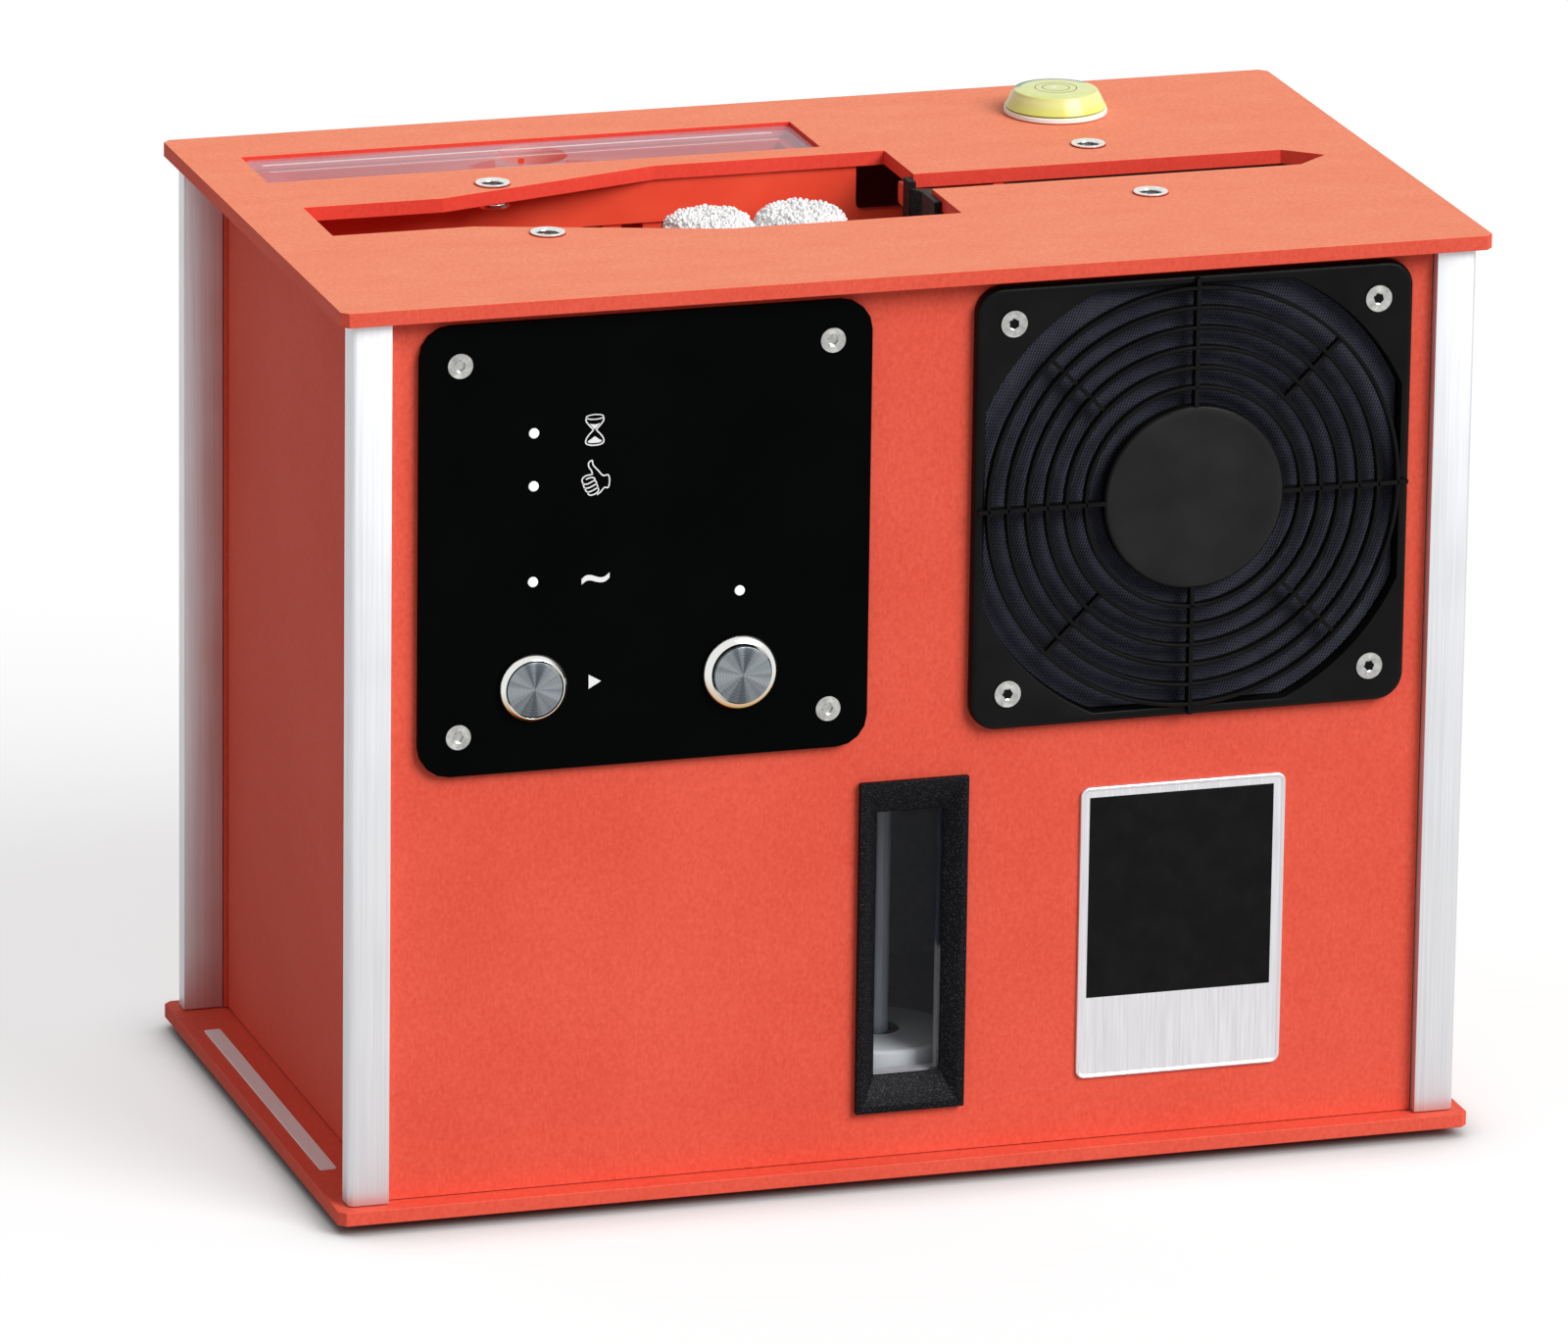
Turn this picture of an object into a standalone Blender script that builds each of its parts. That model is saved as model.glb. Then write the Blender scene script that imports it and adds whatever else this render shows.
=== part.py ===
"""Record cleaning machine for 12 inch records, bench-top cabinet.

The cabinet is two flat boards, joined at the corners by four bright bars, with panels between
them. A record drops edge first through the long slot in the top board, between microfibre
rollers in a wash chamber and a pair of wiper lips at the mouth of a drying channel. Below lies
the water tank with its float, behind the grille a fan that blows through a duct.

Metres, +Z up, front towards -Y, origin on the ground under the middle of the cabinet.
"""

import math

import bmesh
import bpy

# Clearances that all pieces share
seat_gap = 0.0003
run_gap = 0.0003
cut_overrun = 0.003

# Cabinet boards, corner bars, panels and feet
cabinet_width = 0.3200
cabinet_depth = 0.1864
cabinet_height = 0.2522
board_thickness = 0.0040
board_corner = 0.0020
foot_height = 0.0030
foot_radius = 0.0090
foot_inset = 0.0280
bar_width = 0.0112
bar_depth = 0.0065
bar_inset = 0.0035
bar_rounding = 0.0015
panel_thickness = 0.0040
panel_setback = 0.0067
side_setback = 0.0160
side_thickness = 0.0020

# Record, and the slot that takes it
record_end_space = 0.0021
record_rise = 0.0540
slot_start = 0.0186
slot_end = 0.0156
slot_shift = -0.0009
entry_share = 0.1364591
entry_width = 0.0303
flare_share = 0.2281316
wide_share = 0.2302309
wide_depth_share = 0.3680258
exit_width = 0.0164
tip_length = 0.0100
tongue_front_left = 0.0004
tongue_rear_left = -0.0016
tongue_right = 0.0034
tongue_inner = 0.0106
tongue_width = 0.0060
tongue_drop = 0.0070
tongue_rounding = 0.0018

# Control panel, its board and lamps
front_plate_share = 0.4504798
front_guard_share = 0.445048
panel_plate_height = 0.1236
panel_plate_thickness = 0.0020
panel_plate_rounding = 0.0085
panel_plate_margin = 0.00745
panel_plate_drop = 0.0027
panel_screw_inset_x = 0.01095
panel_screw_inset_z = 0.01085
screw_hole_radius = 0.0020
panel_cutout_side = 0.0192
panel_cutout_end = 0.0123
panel_cutout_rounding = 0.0040
lamp_radius = 0.0014
lamp_side = 0.0312
wait_lamp_height = 0.0312
done_lamp_height = 0.0167
power_lamp_height = -0.0096
mode_lamp_side = 0.0360
mode_lamp_height = -0.0162
board_side_space = 0.0050
board_height = 0.0600
board_rise = 0.0100
circuit_thickness = 0.0016
circuit_standoff = 0.0060
spacer_radius = 0.0025
spacer_inset = 0.0040

# Push buttons
button_height = -0.0386
start_side = 0.0313
mode_side = 0.0359
start_head_radius = 0.00935
start_cap_radius = 0.00765
start_groove = 0.0003
start_proud = 0.0000
start_travel = 0.0010
mode_head_radius = 0.0103
mode_cap_radius = 0.0079
mode_groove = 0.0004
mode_proud = 0.0013
mode_travel = 0.0012
head_height = 0.0022
head_chamfer = 0.0008
cap_thickness = 0.0012
cap_edge = 0.0003
barrel_wall = 0.0006
barrel_length = 0.0180
stem_radius = 0.0030
stem_length = 0.0120

# Fan guard, filter cloth and fan
guard_rounding = 0.0075
guard_thickness = 0.0032
guard_edge = 0.0015
guard_margin = 0.0064
guard_drop = 0.00205
guard_screw_inset = 0.0101
opening_reach = 0.00305
opening_land = 0.00285
guard_hub_share = 0.4249147
ring_count = 6
ring_end_space = 0.0007
ring_width = 0.0010
rib_width = 0.0012
short_rib_start = 2
rib_end_reach = 0.0021
grille_proud = 0.0016
grille_depth = 0.0030
guard_hub_chamfer = 0.0007
guard_hub_crown = 0.0004
collar_wall = 0.0014
collar_depth = 0.0022
cloth_thickness = 0.0015
fan_inset = 0.00145
fan_depth = 0.0250
fan_rounding = 0.0060
fan_wall = 0.0025
spider_radius = 0.0200
spider_thickness = 0.0030
strut_width = 0.0040
strut_count = 4
rotor_hub_radius = 0.0195
rotor_hub_depth = 0.0190
rotor_tip_gap = 0.0015
rotor_shaft_radius = 0.0025
blade_count = 7
blade_chord = 0.0250
blade_thickness = 0.0014
blade_root_angle = 52.0
blade_tip_angle = 30.0
blade_sink = 0.0020
duct_wall = 0.0020
duct_mouth_inset = 0.0015
duct_outlet_height = 0.0400
duct_outlet_drop = 0.0120

# Window and its pane
window_width = 0.0306
window_rise = 0.0133
window_shift = 0.0008
window_proud = 0.0022
window_rim = 0.0019
window_depth = 0.0042
light_width = 0.0185
window_bevel_height = 0.0096
window_lip = 0.0005
pane_margin = 0.0028
pane_thickness = 0.0025
sleeve_wall = 0.0013

# Water tank, float and pump
tank_wall = 0.0030
tank_fan_space = 0.0197
tank_rim_height = 0.0039
tank_pump_space = 0.0110
tank_rear_space = 0.0080
float_shift = 0.0012
float_setback = 0.0250
float_radius = 0.0200
float_thickness = 0.0080
float_rest = 0.0144
float_travel = 0.0550
rod_radius = 0.0027
rod_length = 0.0880
rod_foot_radius = 0.0060
grommet_radius = 0.0058
grommet_height = 0.0006
pump_flange_radius = 0.0250
pump_flange_thickness = 0.0030
pump_body_radius = 0.0190
pump_body_height = 0.0420
pump_head_radius = 0.0225
pump_head_height = 0.0140
pump_cap_chamfer = 0.0030
pump_spout_radius = 0.0040
pump_spout_length = 0.0120
pump_side_space = 0.0357
pump_setback = 0.0900

# Wash chamber and drying channel
chamber_margin = 0.0012
chamber_wall = 0.0030
chamber_end_wall = 0.0015
chamber_floor = 0.0030
chamber_depth = 0.1022
chamber_extension = 0.0230
air_window_start = -0.0076
air_window_length = 0.0230
air_window_height = 0.0127
air_window_rounding = 0.0025
slit_count = 4
slit_width = 0.0061
slit_pitch = 0.0114
slit_reach = 0.0857
slit_drop = 0.0119
slit_height = 0.0400
recess_depth = 0.0008
channel_wall = 0.0025
channel_end_space = 0.0030

# Microfibre rollers, their spindles and the gear train
roller_side_space = 0.0095
roller_shift = -0.0435
roller_top = 0.0092
sleeve_shoulder = 0.0040
core_radius = 0.0060
core_flange_radius = 0.0085
core_flange_thickness = 0.0010
core_end = 0.0060
spindle_radius = 0.0040
journal_radius = 0.0025
gear_teeth = 16
gear_thickness = 0.0060
gear_drop = 0.0035
tooth_gap = 0.0003
gear_plate_drop = 0.0130
gear_plate_thickness = 0.0030
gear_plate_half = 0.0320
gear_plate_rounding = 0.0050
post_radius = 0.0028
post_offset = 0.0280
post_sink = 0.0010
motor_half = 0.0175
motor_height = 0.0200
motor_rounding = 0.0040
motor_boss_radius = 0.0050
motor_boss_height = 0.0015
shaft_depth = 0.0120

# Wiper lips
strip_width = 0.0019
strip_front_inner = 0.0063
strip_front_outer = 0.0175
strip_rear_inner = 0.0046
strip_rear_outer = 0.0103
strip_top = 0.0012
lip_top = 0.0032
lip_right = 0.0052
lip_taper = 0.0010
lip_tip_left = 0.0006
lip_tip_right = 0.0026
lip_sink = 0.0005

# Wheels that carry and turn the record
wheel_inset = 0.0289
wheel_radius = 0.0110
groove_radius = 0.0080
wheel_width = 0.0070
groove_width = 0.0030
axle_radius = 0.0020
collar_radius = 0.0045
wheel_motor_radius = 0.0130
wheel_motor_length = 0.0260
wheel_motor_chamfer = 0.0020
wheel_boss_radius = 0.0060
wheel_boss_length = 0.0025
wheel_motor_bore = 0.0100

# Ultrasonic transducer
horn_radius = 0.0120
horn_thickness = 0.0040
stack_radius = 0.0080
stack_length = 0.0060
transducer_shift = 0.0109
transducer_drop = 0.0297494

# Filter under the clear lid
lid_left = 0.0162
lid_length = 0.1566
lid_front_space = 0.0043
lid_rear = 0.0230
lid_gap = 0.0006
lid_recess = 0.0008
lid_rounding = 0.0030
lid_rim_wall = 0.0020
lid_rim_depth = 0.0050
lid_rim_inset = 0.0050
lid_rim_sink = 0.0008
finger_edge = 0.00435
filter_flange_width = 0.0035
filter_flange_thickness = 0.0020
filter_wall = 0.0020
filter_depth = 0.0900
foam_gap = 0.0012
foam_drop = 0.0080

# Bubble level and threaded bushings on the top board
level_right = 0.0722
level_rear = 0.0303
level_radius = 0.0150
level_rim_height = 0.0017
level_stub_radius = 0.0050
level_stub_length = 0.0034
vial_base_radius = 0.0144
vial_top_radius = 0.0117
vial_height = 0.0064
vial_crown = 0.0006
vial_crown_share = 0.6
bushing_left_reach = 0.0172
bushing_right_reach = 0.0562
bushing_slot_space = 0.0064982
bushing_shift_y = -0.0004
bushing_flange_radius = 0.0050
bushing_flange_height = 0.0004
bushing_radius = 0.0042
bushing_bore_radius = 0.0031
bushing_drop = 0.0020
bushing_segments = 16

# Power inlet in the rear panel
inlet_left = 0.0400
inlet_rise = 0.0220
inlet_flange_radius = 0.0075
inlet_flange_thickness = 0.0015
inlet_body_radius = 0.0055
inlet_body_length = 0.0140
inlet_bore_radius = 0.0028
inlet_bore_depth = 0.0100

# How finely round forms are divided
fine_segments = 48
grille_segments = 40
round_segments = 24
small_segments = 12
corner_steps = 4

# Levels and faces worked out from the cabinet
bottom_top = foot_height + board_thickness
top_face = foot_height + cabinet_height
top_underside = top_face - board_thickness
wall_base = bottom_top + seat_gap
wall_top = top_underside - seat_gap
front_face = -cabinet_depth / 2 + panel_setback
front_back = front_face + panel_thickness
side_face = cabinet_width / 2 - side_setback
side_inside = side_face - side_thickness - seat_gap
panel_end = cabinet_width / 2 - bar_inset - bar_width - seat_gap

# The slot and the record in it
slot_left = -cabinet_width / 2 + slot_start
tip_x = cabinet_width / 2 - slot_end
exit_end = tip_x - tip_length
slot_span = tip_x - slot_left
flare_left = slot_left + slot_span * entry_share
wide_left = flare_left + slot_span * flare_share
step_x = wide_left + slot_span * wide_share
wide_width = cabinet_depth * wide_depth_share
record_radius = math.hypot(slot_span / 2 - record_end_space, record_rise)
wheel_offset = slot_span / 2 - wheel_inset
record_x = (slot_left + tip_x) / 2
record_z = top_face + record_rise

# The chamber under the slot
chamber_base = wall_top - chamber_depth
floor_top = chamber_base + chamber_floor
chamber_end = step_x + chamber_extension
chamber_half = wide_width / 2 + chamber_margin
slit_start = step_x - slit_reach
roller_x = step_x + roller_shift
roller_pitch = chamber_half - roller_side_space
roller_radius = roller_pitch / 2 - run_gap / 2
gear_centre_distance = roller_pitch / math.sqrt(2)
gear_base = chamber_base - gear_drop - gear_thickness
gear_plate_top = chamber_base - gear_plate_drop
gear_plate_base = gear_plate_top - gear_plate_thickness

# The clear lid fills the space between the chamber and the rear edge
lid_width = cabinet_depth / 2 - lid_rear - (slot_shift + chamber_half + chamber_wall + lid_front_space)
finger_radius = lid_width / 2 - finger_edge

# Widths that the control plate and the fan guard share out on the front panel
front_room = 2 * panel_end - panel_plate_margin - guard_margin
panel_plate_width = front_room * front_plate_share
guard_width = front_room * front_guard_share

# Sizes inside the control plate
panel_screw_pitch_x = panel_plate_width - 2 * panel_screw_inset_x
panel_screw_pitch_z = panel_plate_height - 2 * panel_screw_inset_z
panel_cutout_width = panel_plate_width - 2 * panel_cutout_side
panel_cutout_height = panel_plate_height - 2 * panel_cutout_end
board_width = panel_cutout_width - 2 * board_side_space
lamp_column = lamp_side - panel_plate_width / 2
mode_lamp_column = panel_plate_width / 2 - mode_lamp_side
start_column = start_side - panel_plate_width / 2
mode_column = panel_plate_width / 2 - mode_side

# Sizes inside the fan guard, and the fan behind it
guard_screw_pitch = guard_width - 2 * guard_screw_inset
opening_radius = guard_width / 2 + opening_reach
opening_half = guard_width / 2 - opening_land
guard_hub_radius = opening_half * guard_hub_share
ring_pitch = (opening_half - guard_hub_radius - ring_end_space) / ring_count
rib_end_radius = opening_half + rib_end_reach
fan_width = guard_width - 2 * fan_inset
fan_bore_radius = fan_width / 2 - fan_wall

# Places on the front panel
plate_x = -panel_end + panel_plate_margin + panel_plate_width / 2
plate_z = top_underside - panel_plate_drop - panel_plate_height / 2
plate_back = front_face - seat_gap
plate_front = plate_back - panel_plate_thickness
guard_x = panel_end - guard_margin - guard_width / 2
guard_z = top_underside - guard_drop - guard_width / 2
guard_front = front_face - seat_gap - guard_thickness
fan_front = front_back + seat_gap
tank_height = guard_z - fan_width / 2 - tank_fan_space - wall_base
window_top = wall_base + tank_height - tank_rim_height + window_bevel_height
window_height = window_top - bottom_top - window_rise
light_height = window_height - 2 * window_bevel_height
window_z = window_top - window_height / 2
window_front = front_face - window_proud
light_face = window_front + window_depth
sleeve_back = light_face + window_lip + pane_thickness + 2 * seat_gap
tank_front = sleeve_back + seat_gap
pump_left = pump_side_space - side_inside
tank_left = pump_left + pump_flange_radius + tank_pump_space


def material(name, colour, roughness, metallic=0.0):
    """A plain Principled material in the colour of the piece."""
    shade = bpy.data.materials.new(name)
    shade.use_nodes = True
    shader = shade.node_tree.nodes["Principled BSDF"]
    shader.inputs["Base Color"].default_value = (*colour, 1.0)
    shader.inputs["Roughness"].default_value = roughness
    shader.inputs["Metallic"].default_value = metallic
    shade.diffuse_color = (*colour, 1.0)
    return shade


def add_object(name, mesh, shade, location=(0, 0, 0), turn=(0, 0, 0), smooth=False):
    """Put a mesh into the scene under the name of its piece."""
    piece = bpy.data.objects.new(name, mesh)
    bpy.context.scene.collection.objects.link(piece)
    piece.location = location
    piece.rotation_euler = [math.radians(angle) for angle in turn]
    if shade:
        mesh.materials.append(shade)
    if smooth:
        mesh.shade_smooth()
        mesh.set_sharp_from_angle(angle=math.radians(35))
    return piece


def finish_mesh(name, work):
    """Turn a bmesh into a mesh with its faces pointing out."""
    bmesh.ops.recalc_face_normals(work, faces=work.faces)
    mesh = bpy.data.meshes.new(name)
    work.to_mesh(mesh)
    work.free()
    return mesh


def stack_mesh(name, loops, closed=False):
    """Skin a row of loops of equal count, capped at both ends or closed into a ring."""
    work = bmesh.new()
    rows = [[work.verts.new(point) for point in loop] for loop in loops]
    pairs = list(zip(rows, rows[1:]))
    if closed:
        pairs.append((rows[-1], rows[0]))
    for low, high in pairs:
        for index in range(len(low)):
            after = (index + 1) % len(low)
            work.faces.new((low[index], low[after], high[after], high[index]))
    if not closed:
        work.faces.new(list(reversed(rows[0])))
        work.faces.new(rows[-1])
    return finish_mesh(name, work)


def profile_mesh(name, outline, holes, depth):
    """Extrude a flat outline with holes along +Z."""
    work = bmesh.new()
    edges = []
    for loop in [outline] + holes:
        corners = [work.verts.new((x, y, 0)) for x, y in loop]
        for index in range(len(corners)):
            edges.append(work.edges.new((corners[index - 1], corners[index])))
    bmesh.ops.triangle_fill(work, use_beauty=True, use_dissolve=False, edges=edges)
    grown = bmesh.ops.extrude_face_region(work, geom=list(work.faces))
    moved = [item for item in grown["geom"] if isinstance(item, bmesh.types.BMVert)]
    bmesh.ops.translate(work, verts=moved, vec=(0, 0, depth))
    return finish_mesh(name, work)


def circle(radius, segments, x=0, y=0):
    """Corner points of a round outline."""
    turn = 2 * math.pi / segments
    return [(x + radius * math.cos(turn * step), y + radius * math.sin(turn * step)) for step in range(segments)]


def rectangle(half_x, half_y, x=0, y=0):
    """Corner points of a plain rectangle."""
    return [(x - half_x, y - half_y), (x + half_x, y - half_y), (x + half_x, y + half_y), (x - half_x, y + half_y)]


def rounded(half_x, half_y, radius, x=0, y=0, steps=corner_steps):
    """Outline of a rectangle with rounded corners."""
    points = []
    for quarter, (side_x, side_y) in enumerate(((1, 1), (-1, 1), (-1, -1), (1, -1))):
        for step in range(steps + 1):
            angle = math.pi / 2 * (quarter + step / steps)
            points.append((x + side_x * (half_x - radius) + radius * math.cos(angle),
                           y + side_y * (half_y - radius) + radius * math.sin(angle)))
    return points


def chamfered(half_x, half_y, cut):
    """Outline of a rectangle with its corners cut off."""
    return [(half_x, half_y - cut), (half_x - cut, half_y), (cut - half_x, half_y), (-half_x, half_y - cut),
            (-half_x, cut - half_y), (cut - half_x, -half_y), (half_x - cut, -half_y), (half_x, cut - half_y)]


def level(outline, z):
    """A flat outline set at one height."""
    return [(x, y, z) for x, y in outline]


def turned(name, profile, segments=round_segments, closed=False):
    """Turn a profile of radius and height pairs about Z."""
    return stack_mesh(name, [level(circle(radius, segments), z) for radius, z in profile], closed)


def cutter(name, mesh, location=(0, 0, 0), turn=(0, 0, 0)):
    """A hidden helper body for a Boolean."""
    tool = add_object(name, mesh, None, location, turn)
    tool.hide_render = True
    tool.display_type = "WIRE"
    return tool


def combine(piece, tool, operation):
    """Cut a piece by a helper body, or join the two."""
    step = piece.modifiers.new(tool.name, "BOOLEAN")
    step.operation = operation
    step.solver = "EXACT"
    step.object = tool


def cut_box(piece, name, low, high):
    """Cut a straight-sided opening between two corners."""
    (x0, y0, z0), (x1, y1, z1) = low, high
    outline = rectangle((x1 - x0) / 2, (y1 - y0) / 2, (x0 + x1) / 2, (y0 + y1) / 2)
    combine(piece, cutter(name, stack_mesh(name, [level(outline, z0), level(outline, z1)])), "DIFFERENCE")


def slot_outline():
    """The whole record slot seen from above."""
    entry = entry_width / 2
    wide = wide_width / 2
    leave = exit_width / 2
    upper = [(slot_left, entry), (flare_left, entry), (wide_left, wide), (step_x, wide),
             (step_x, leave), (exit_end, leave)]
    lower = [(x, -y) for x, y in reversed(upper)]
    return [(x, y + slot_shift) for x, y in upper + [(tip_x, 0)] + lower]


def chamber_outline(wall, end_wall):
    """The wash chamber seen from above: a box as wide as the slot's wide part, run on to its right."""
    left = chamber_end_wall - side_inside - end_wall
    right = chamber_end + wall
    return rectangle((right - left) / 2, chamber_half + wall, (left + right) / 2, slot_shift)


def lid_centre():
    """Middle of the opening that the clear lid closes."""
    return (-cabinet_width / 2 + lid_left + lid_length / 2, cabinet_depth / 2 - lid_rear - lid_width / 2)


def bushing_places():
    """Name and middle of each threaded bushing."""
    slope = (wide_width - entry_width) / 2 / (wide_left - flare_left)
    apart = entry_width / 2 + slope * bushing_left_reach + bushing_slot_space
    for depth_name, side in (("front", -1), ("rear", 1)):
        y = slot_shift + bushing_shift_y + side * apart
        yield (f"{depth_name}_left", flare_left + bushing_left_reach, y)
        yield (f"{depth_name}_right", step_x + bushing_right_reach, y)


def level_place():
    """Middle of the bubble level."""
    return (cabinet_width / 2 - level_right, cabinet_depth / 2 - level_rear)


def corner_places(inset_x, inset_y):
    """Name, middle and sides of the four corners of the cabinet."""
    for depth_name, depth_side in (("front", -1), ("rear", 1)):
        for side_name, side in (("left", -1), ("right", 1)):
            yield (f"{depth_name}_{side_name}", side * (cabinet_width / 2 - inset_x),
                   depth_side * (cabinet_depth / 2 - inset_y), side, depth_side)


def make_boards():
    """Bottom and top boards, the top one with its slot and holes."""
    red = material("board_red", (0.79, 0.13, 0.07), 0.75)
    outline = chamfered(cabinet_width / 2, cabinet_depth / 2, board_corner)
    bottom = stack_mesh("bottom_plate", [level(outline, 0), level(outline, board_thickness)])
    add_object("bottom_plate", bottom, red, (0, 0, foot_height))

    lid_x, lid_y = lid_centre()
    level_x, level_y = level_place()
    holes = [slot_outline(), rectangle(lid_length / 2, lid_width / 2, lid_x, lid_y)]
    holes.append(circle(level_stub_radius + seat_gap, small_segments, level_x, level_y))
    for _, x, y in bushing_places():
        holes.append(circle(bushing_radius + seat_gap, small_segments, x, y))
    top = add_object("top_plate", profile_mesh("top_plate", outline, holes, board_thickness), red,
                     (0, 0, top_underside))
    add_tongue(top, "front", -1, tongue_front_left)
    add_tongue(top, "rear", 1, tongue_rear_left)


def add_tongue(top, name, side, left):
    """A lug under the step of the slot, rounded below, that holds the wiper."""
    root = top_underside + board_thickness / 2
    low = top_underside - tongue_drop
    shape = [(tongue_right, root), (seat_gap, root), (seat_gap, top_underside), (left, top_underside)]
    if left >= seat_gap:
        shape = [(tongue_right, root), (left, root)]
    for corner_x, start in ((left + tongue_rounding, 2), (tongue_right - tongue_rounding, 3)):
        for step in range(corner_steps + 1):
            angle = math.pi / 2 * (start + step / corner_steps)
            shape.append((corner_x + tongue_rounding * math.cos(angle),
                          low + tongue_rounding + tongue_rounding * math.sin(angle)))
    loops = [[(step_x + x, slot_shift + side * along, z) for x, z in shape]
             for along in (tongue_inner, tongue_inner + tongue_width)]
    combine(top, cutter(f"tongue_{name}", stack_mesh(f"tongue_{name}", loops)), "UNION")


def make_bars():
    """Four corner bars with their outer upright edge rounded."""
    bright = material("bar_aluminium", (0.78, 0.79, 0.81), 0.35, 0.9)
    for name, x, y, side, depth_side in corner_places(bar_inset + bar_width / 2, bar_inset + bar_depth / 2):
        corner_x = bar_width / 2 - bar_rounding
        corner_y = bar_depth / 2 - bar_rounding
        outline = [(-bar_width / 2, bar_depth / 2), (-bar_width / 2, -bar_depth / 2), (bar_width / 2, -bar_depth / 2)]
        for step in range(corner_steps + 1):
            angle = math.pi / 2 * step / corner_steps
            outline.append((corner_x + bar_rounding * math.cos(angle), corner_y + bar_rounding * math.sin(angle)))
        loop = [(side * px, depth_side * py) for px, py in outline]
        mesh = stack_mesh(f"corner_bar_{name}", [level(loop, wall_base), level(loop, wall_top)])
        add_object(f"corner_bar_{name}", mesh, bright, (x, y, 0), smooth=True)


def make_feet():
    """Low round rubber feet under the bottom board."""
    rubber = material("foot_rubber", (0.02, 0.02, 0.02), 0.8)
    for name, x, y, _, _ in corner_places(foot_inset, foot_inset):
        mesh = turned(f"rubber_foot_{name}", [(foot_radius, 0), (foot_radius, foot_height - seat_gap)])
        add_object(f"rubber_foot_{name}", mesh, rubber, (x, y, 0), smooth=True)


def guard_opening(margin):
    """The guard's opening: a circle cut by four flats, grown by a margin."""
    radius = opening_radius + margin
    half = opening_half + margin
    flat = math.acos(half / radius)
    arc = math.pi / 2 - 2 * flat
    steps = fine_segments // 6
    points = []
    for quarter in range(4):
        for step in range(steps + 1):
            angle = quarter * math.pi / 2 + flat + arc * step / steps
            points.append((radius * math.cos(angle), radius * math.sin(angle)))
    return points


def front_holes():
    """Openings in the front panel: controls, fan, window and their screws."""
    middle_z = (wall_base + wall_top) / 2
    control_z = plate_z - middle_z
    guard_rise = guard_z - middle_z
    holes = [rounded(panel_cutout_width / 2, panel_cutout_height / 2, panel_cutout_rounding, plate_x, control_z)]
    holes.append([(x + guard_x, z + guard_rise) for x, z in guard_opening(collar_wall + 2 * seat_gap)])
    width, height = sleeve_half_sizes()
    holes.append(rectangle(width + seat_gap, height + seat_gap, window_shift, window_z - middle_z))
    for side in (-1, 1):
        for rise in (-1, 1):
            guard_half = guard_screw_pitch / 2
            holes.append(circle(screw_hole_radius, small_segments, plate_x + side * panel_screw_pitch_x / 2,
                                control_z + rise * panel_screw_pitch_z / 2))
            holes.append(circle(screw_hole_radius, small_segments, guard_x + side * guard_half,
                                guard_rise + rise * guard_half))
    return holes


def make_panels():
    """Front, rear and side panels between the boards."""
    red = material("panel_red", (0.79, 0.13, 0.07), 0.75)
    half_height = (wall_top - wall_base) / 2
    middle_z = (wall_base + wall_top) / 2
    outline = rectangle(panel_end, half_height)
    front = profile_mesh("front_panel", outline, front_holes(), panel_thickness)
    add_object("front_panel", front, red, (0, front_back, middle_z), (90, 0, 0))

    inlet_x, inlet_z = inlet_place()
    hole = circle(inlet_body_radius + seat_gap, small_segments, inlet_x, inlet_z - middle_z)
    rear = profile_mesh("rear_panel", outline, [hole], panel_thickness)
    add_object("rear_panel", rear, red, (0, -front_face, middle_z), (90, 0, 0))

    for name, side in (("left", -1), ("right", 1)):
        loop = rectangle(side_thickness / 2, -front_back - seat_gap)
        mesh = stack_mesh(f"side_panel_{name}", [level(loop, wall_base), level(loop, wall_top)])
        add_object(f"side_panel_{name}", mesh, red, (side * (side_face - side_thickness / 2), 0, 0))


def lamp_places():
    """Middle of each signal lamp on the control panel."""
    return [(lamp_column, wait_lamp_height), (lamp_column, done_lamp_height),
            (lamp_column, power_lamp_height), (mode_lamp_column, mode_lamp_height)]


def button_sizes():
    """Name, column, head, cap, groove, height above the head and travel of each push button."""
    return [("start_button", start_column, start_head_radius, start_cap_radius, start_groove,
             start_proud, start_travel),
            ("mode_button", mode_column, mode_head_radius, mode_cap_radius, mode_groove,
             mode_proud, mode_travel)]


def make_control_panel():
    """Black plate with holes for the lamps, the push buttons and the screws."""
    black = material("control_plate_black", (0.008, 0.009, 0.009), 0.45)
    holes = [circle(lamp_radius + seat_gap / 2, small_segments, x, z) for x, z in lamp_places()]
    for _, column, _, cap_radius, groove, _, _ in button_sizes():
        holes.append(circle(cap_radius + groove + barrel_wall + seat_gap, round_segments, column, button_height))
    for side in (-1, 1):
        for rise in (-1, 1):
            holes.append(circle(screw_hole_radius, small_segments, side * panel_screw_pitch_x / 2,
                                rise * panel_screw_pitch_z / 2))
    outline = rounded(panel_plate_width / 2, panel_plate_height / 2, panel_plate_rounding)
    mesh = profile_mesh("control_panel", outline, holes, panel_plate_thickness)
    add_object("control_panel", mesh, black, (plate_x, plate_back, plate_z), (90, 0, 0))


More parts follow.
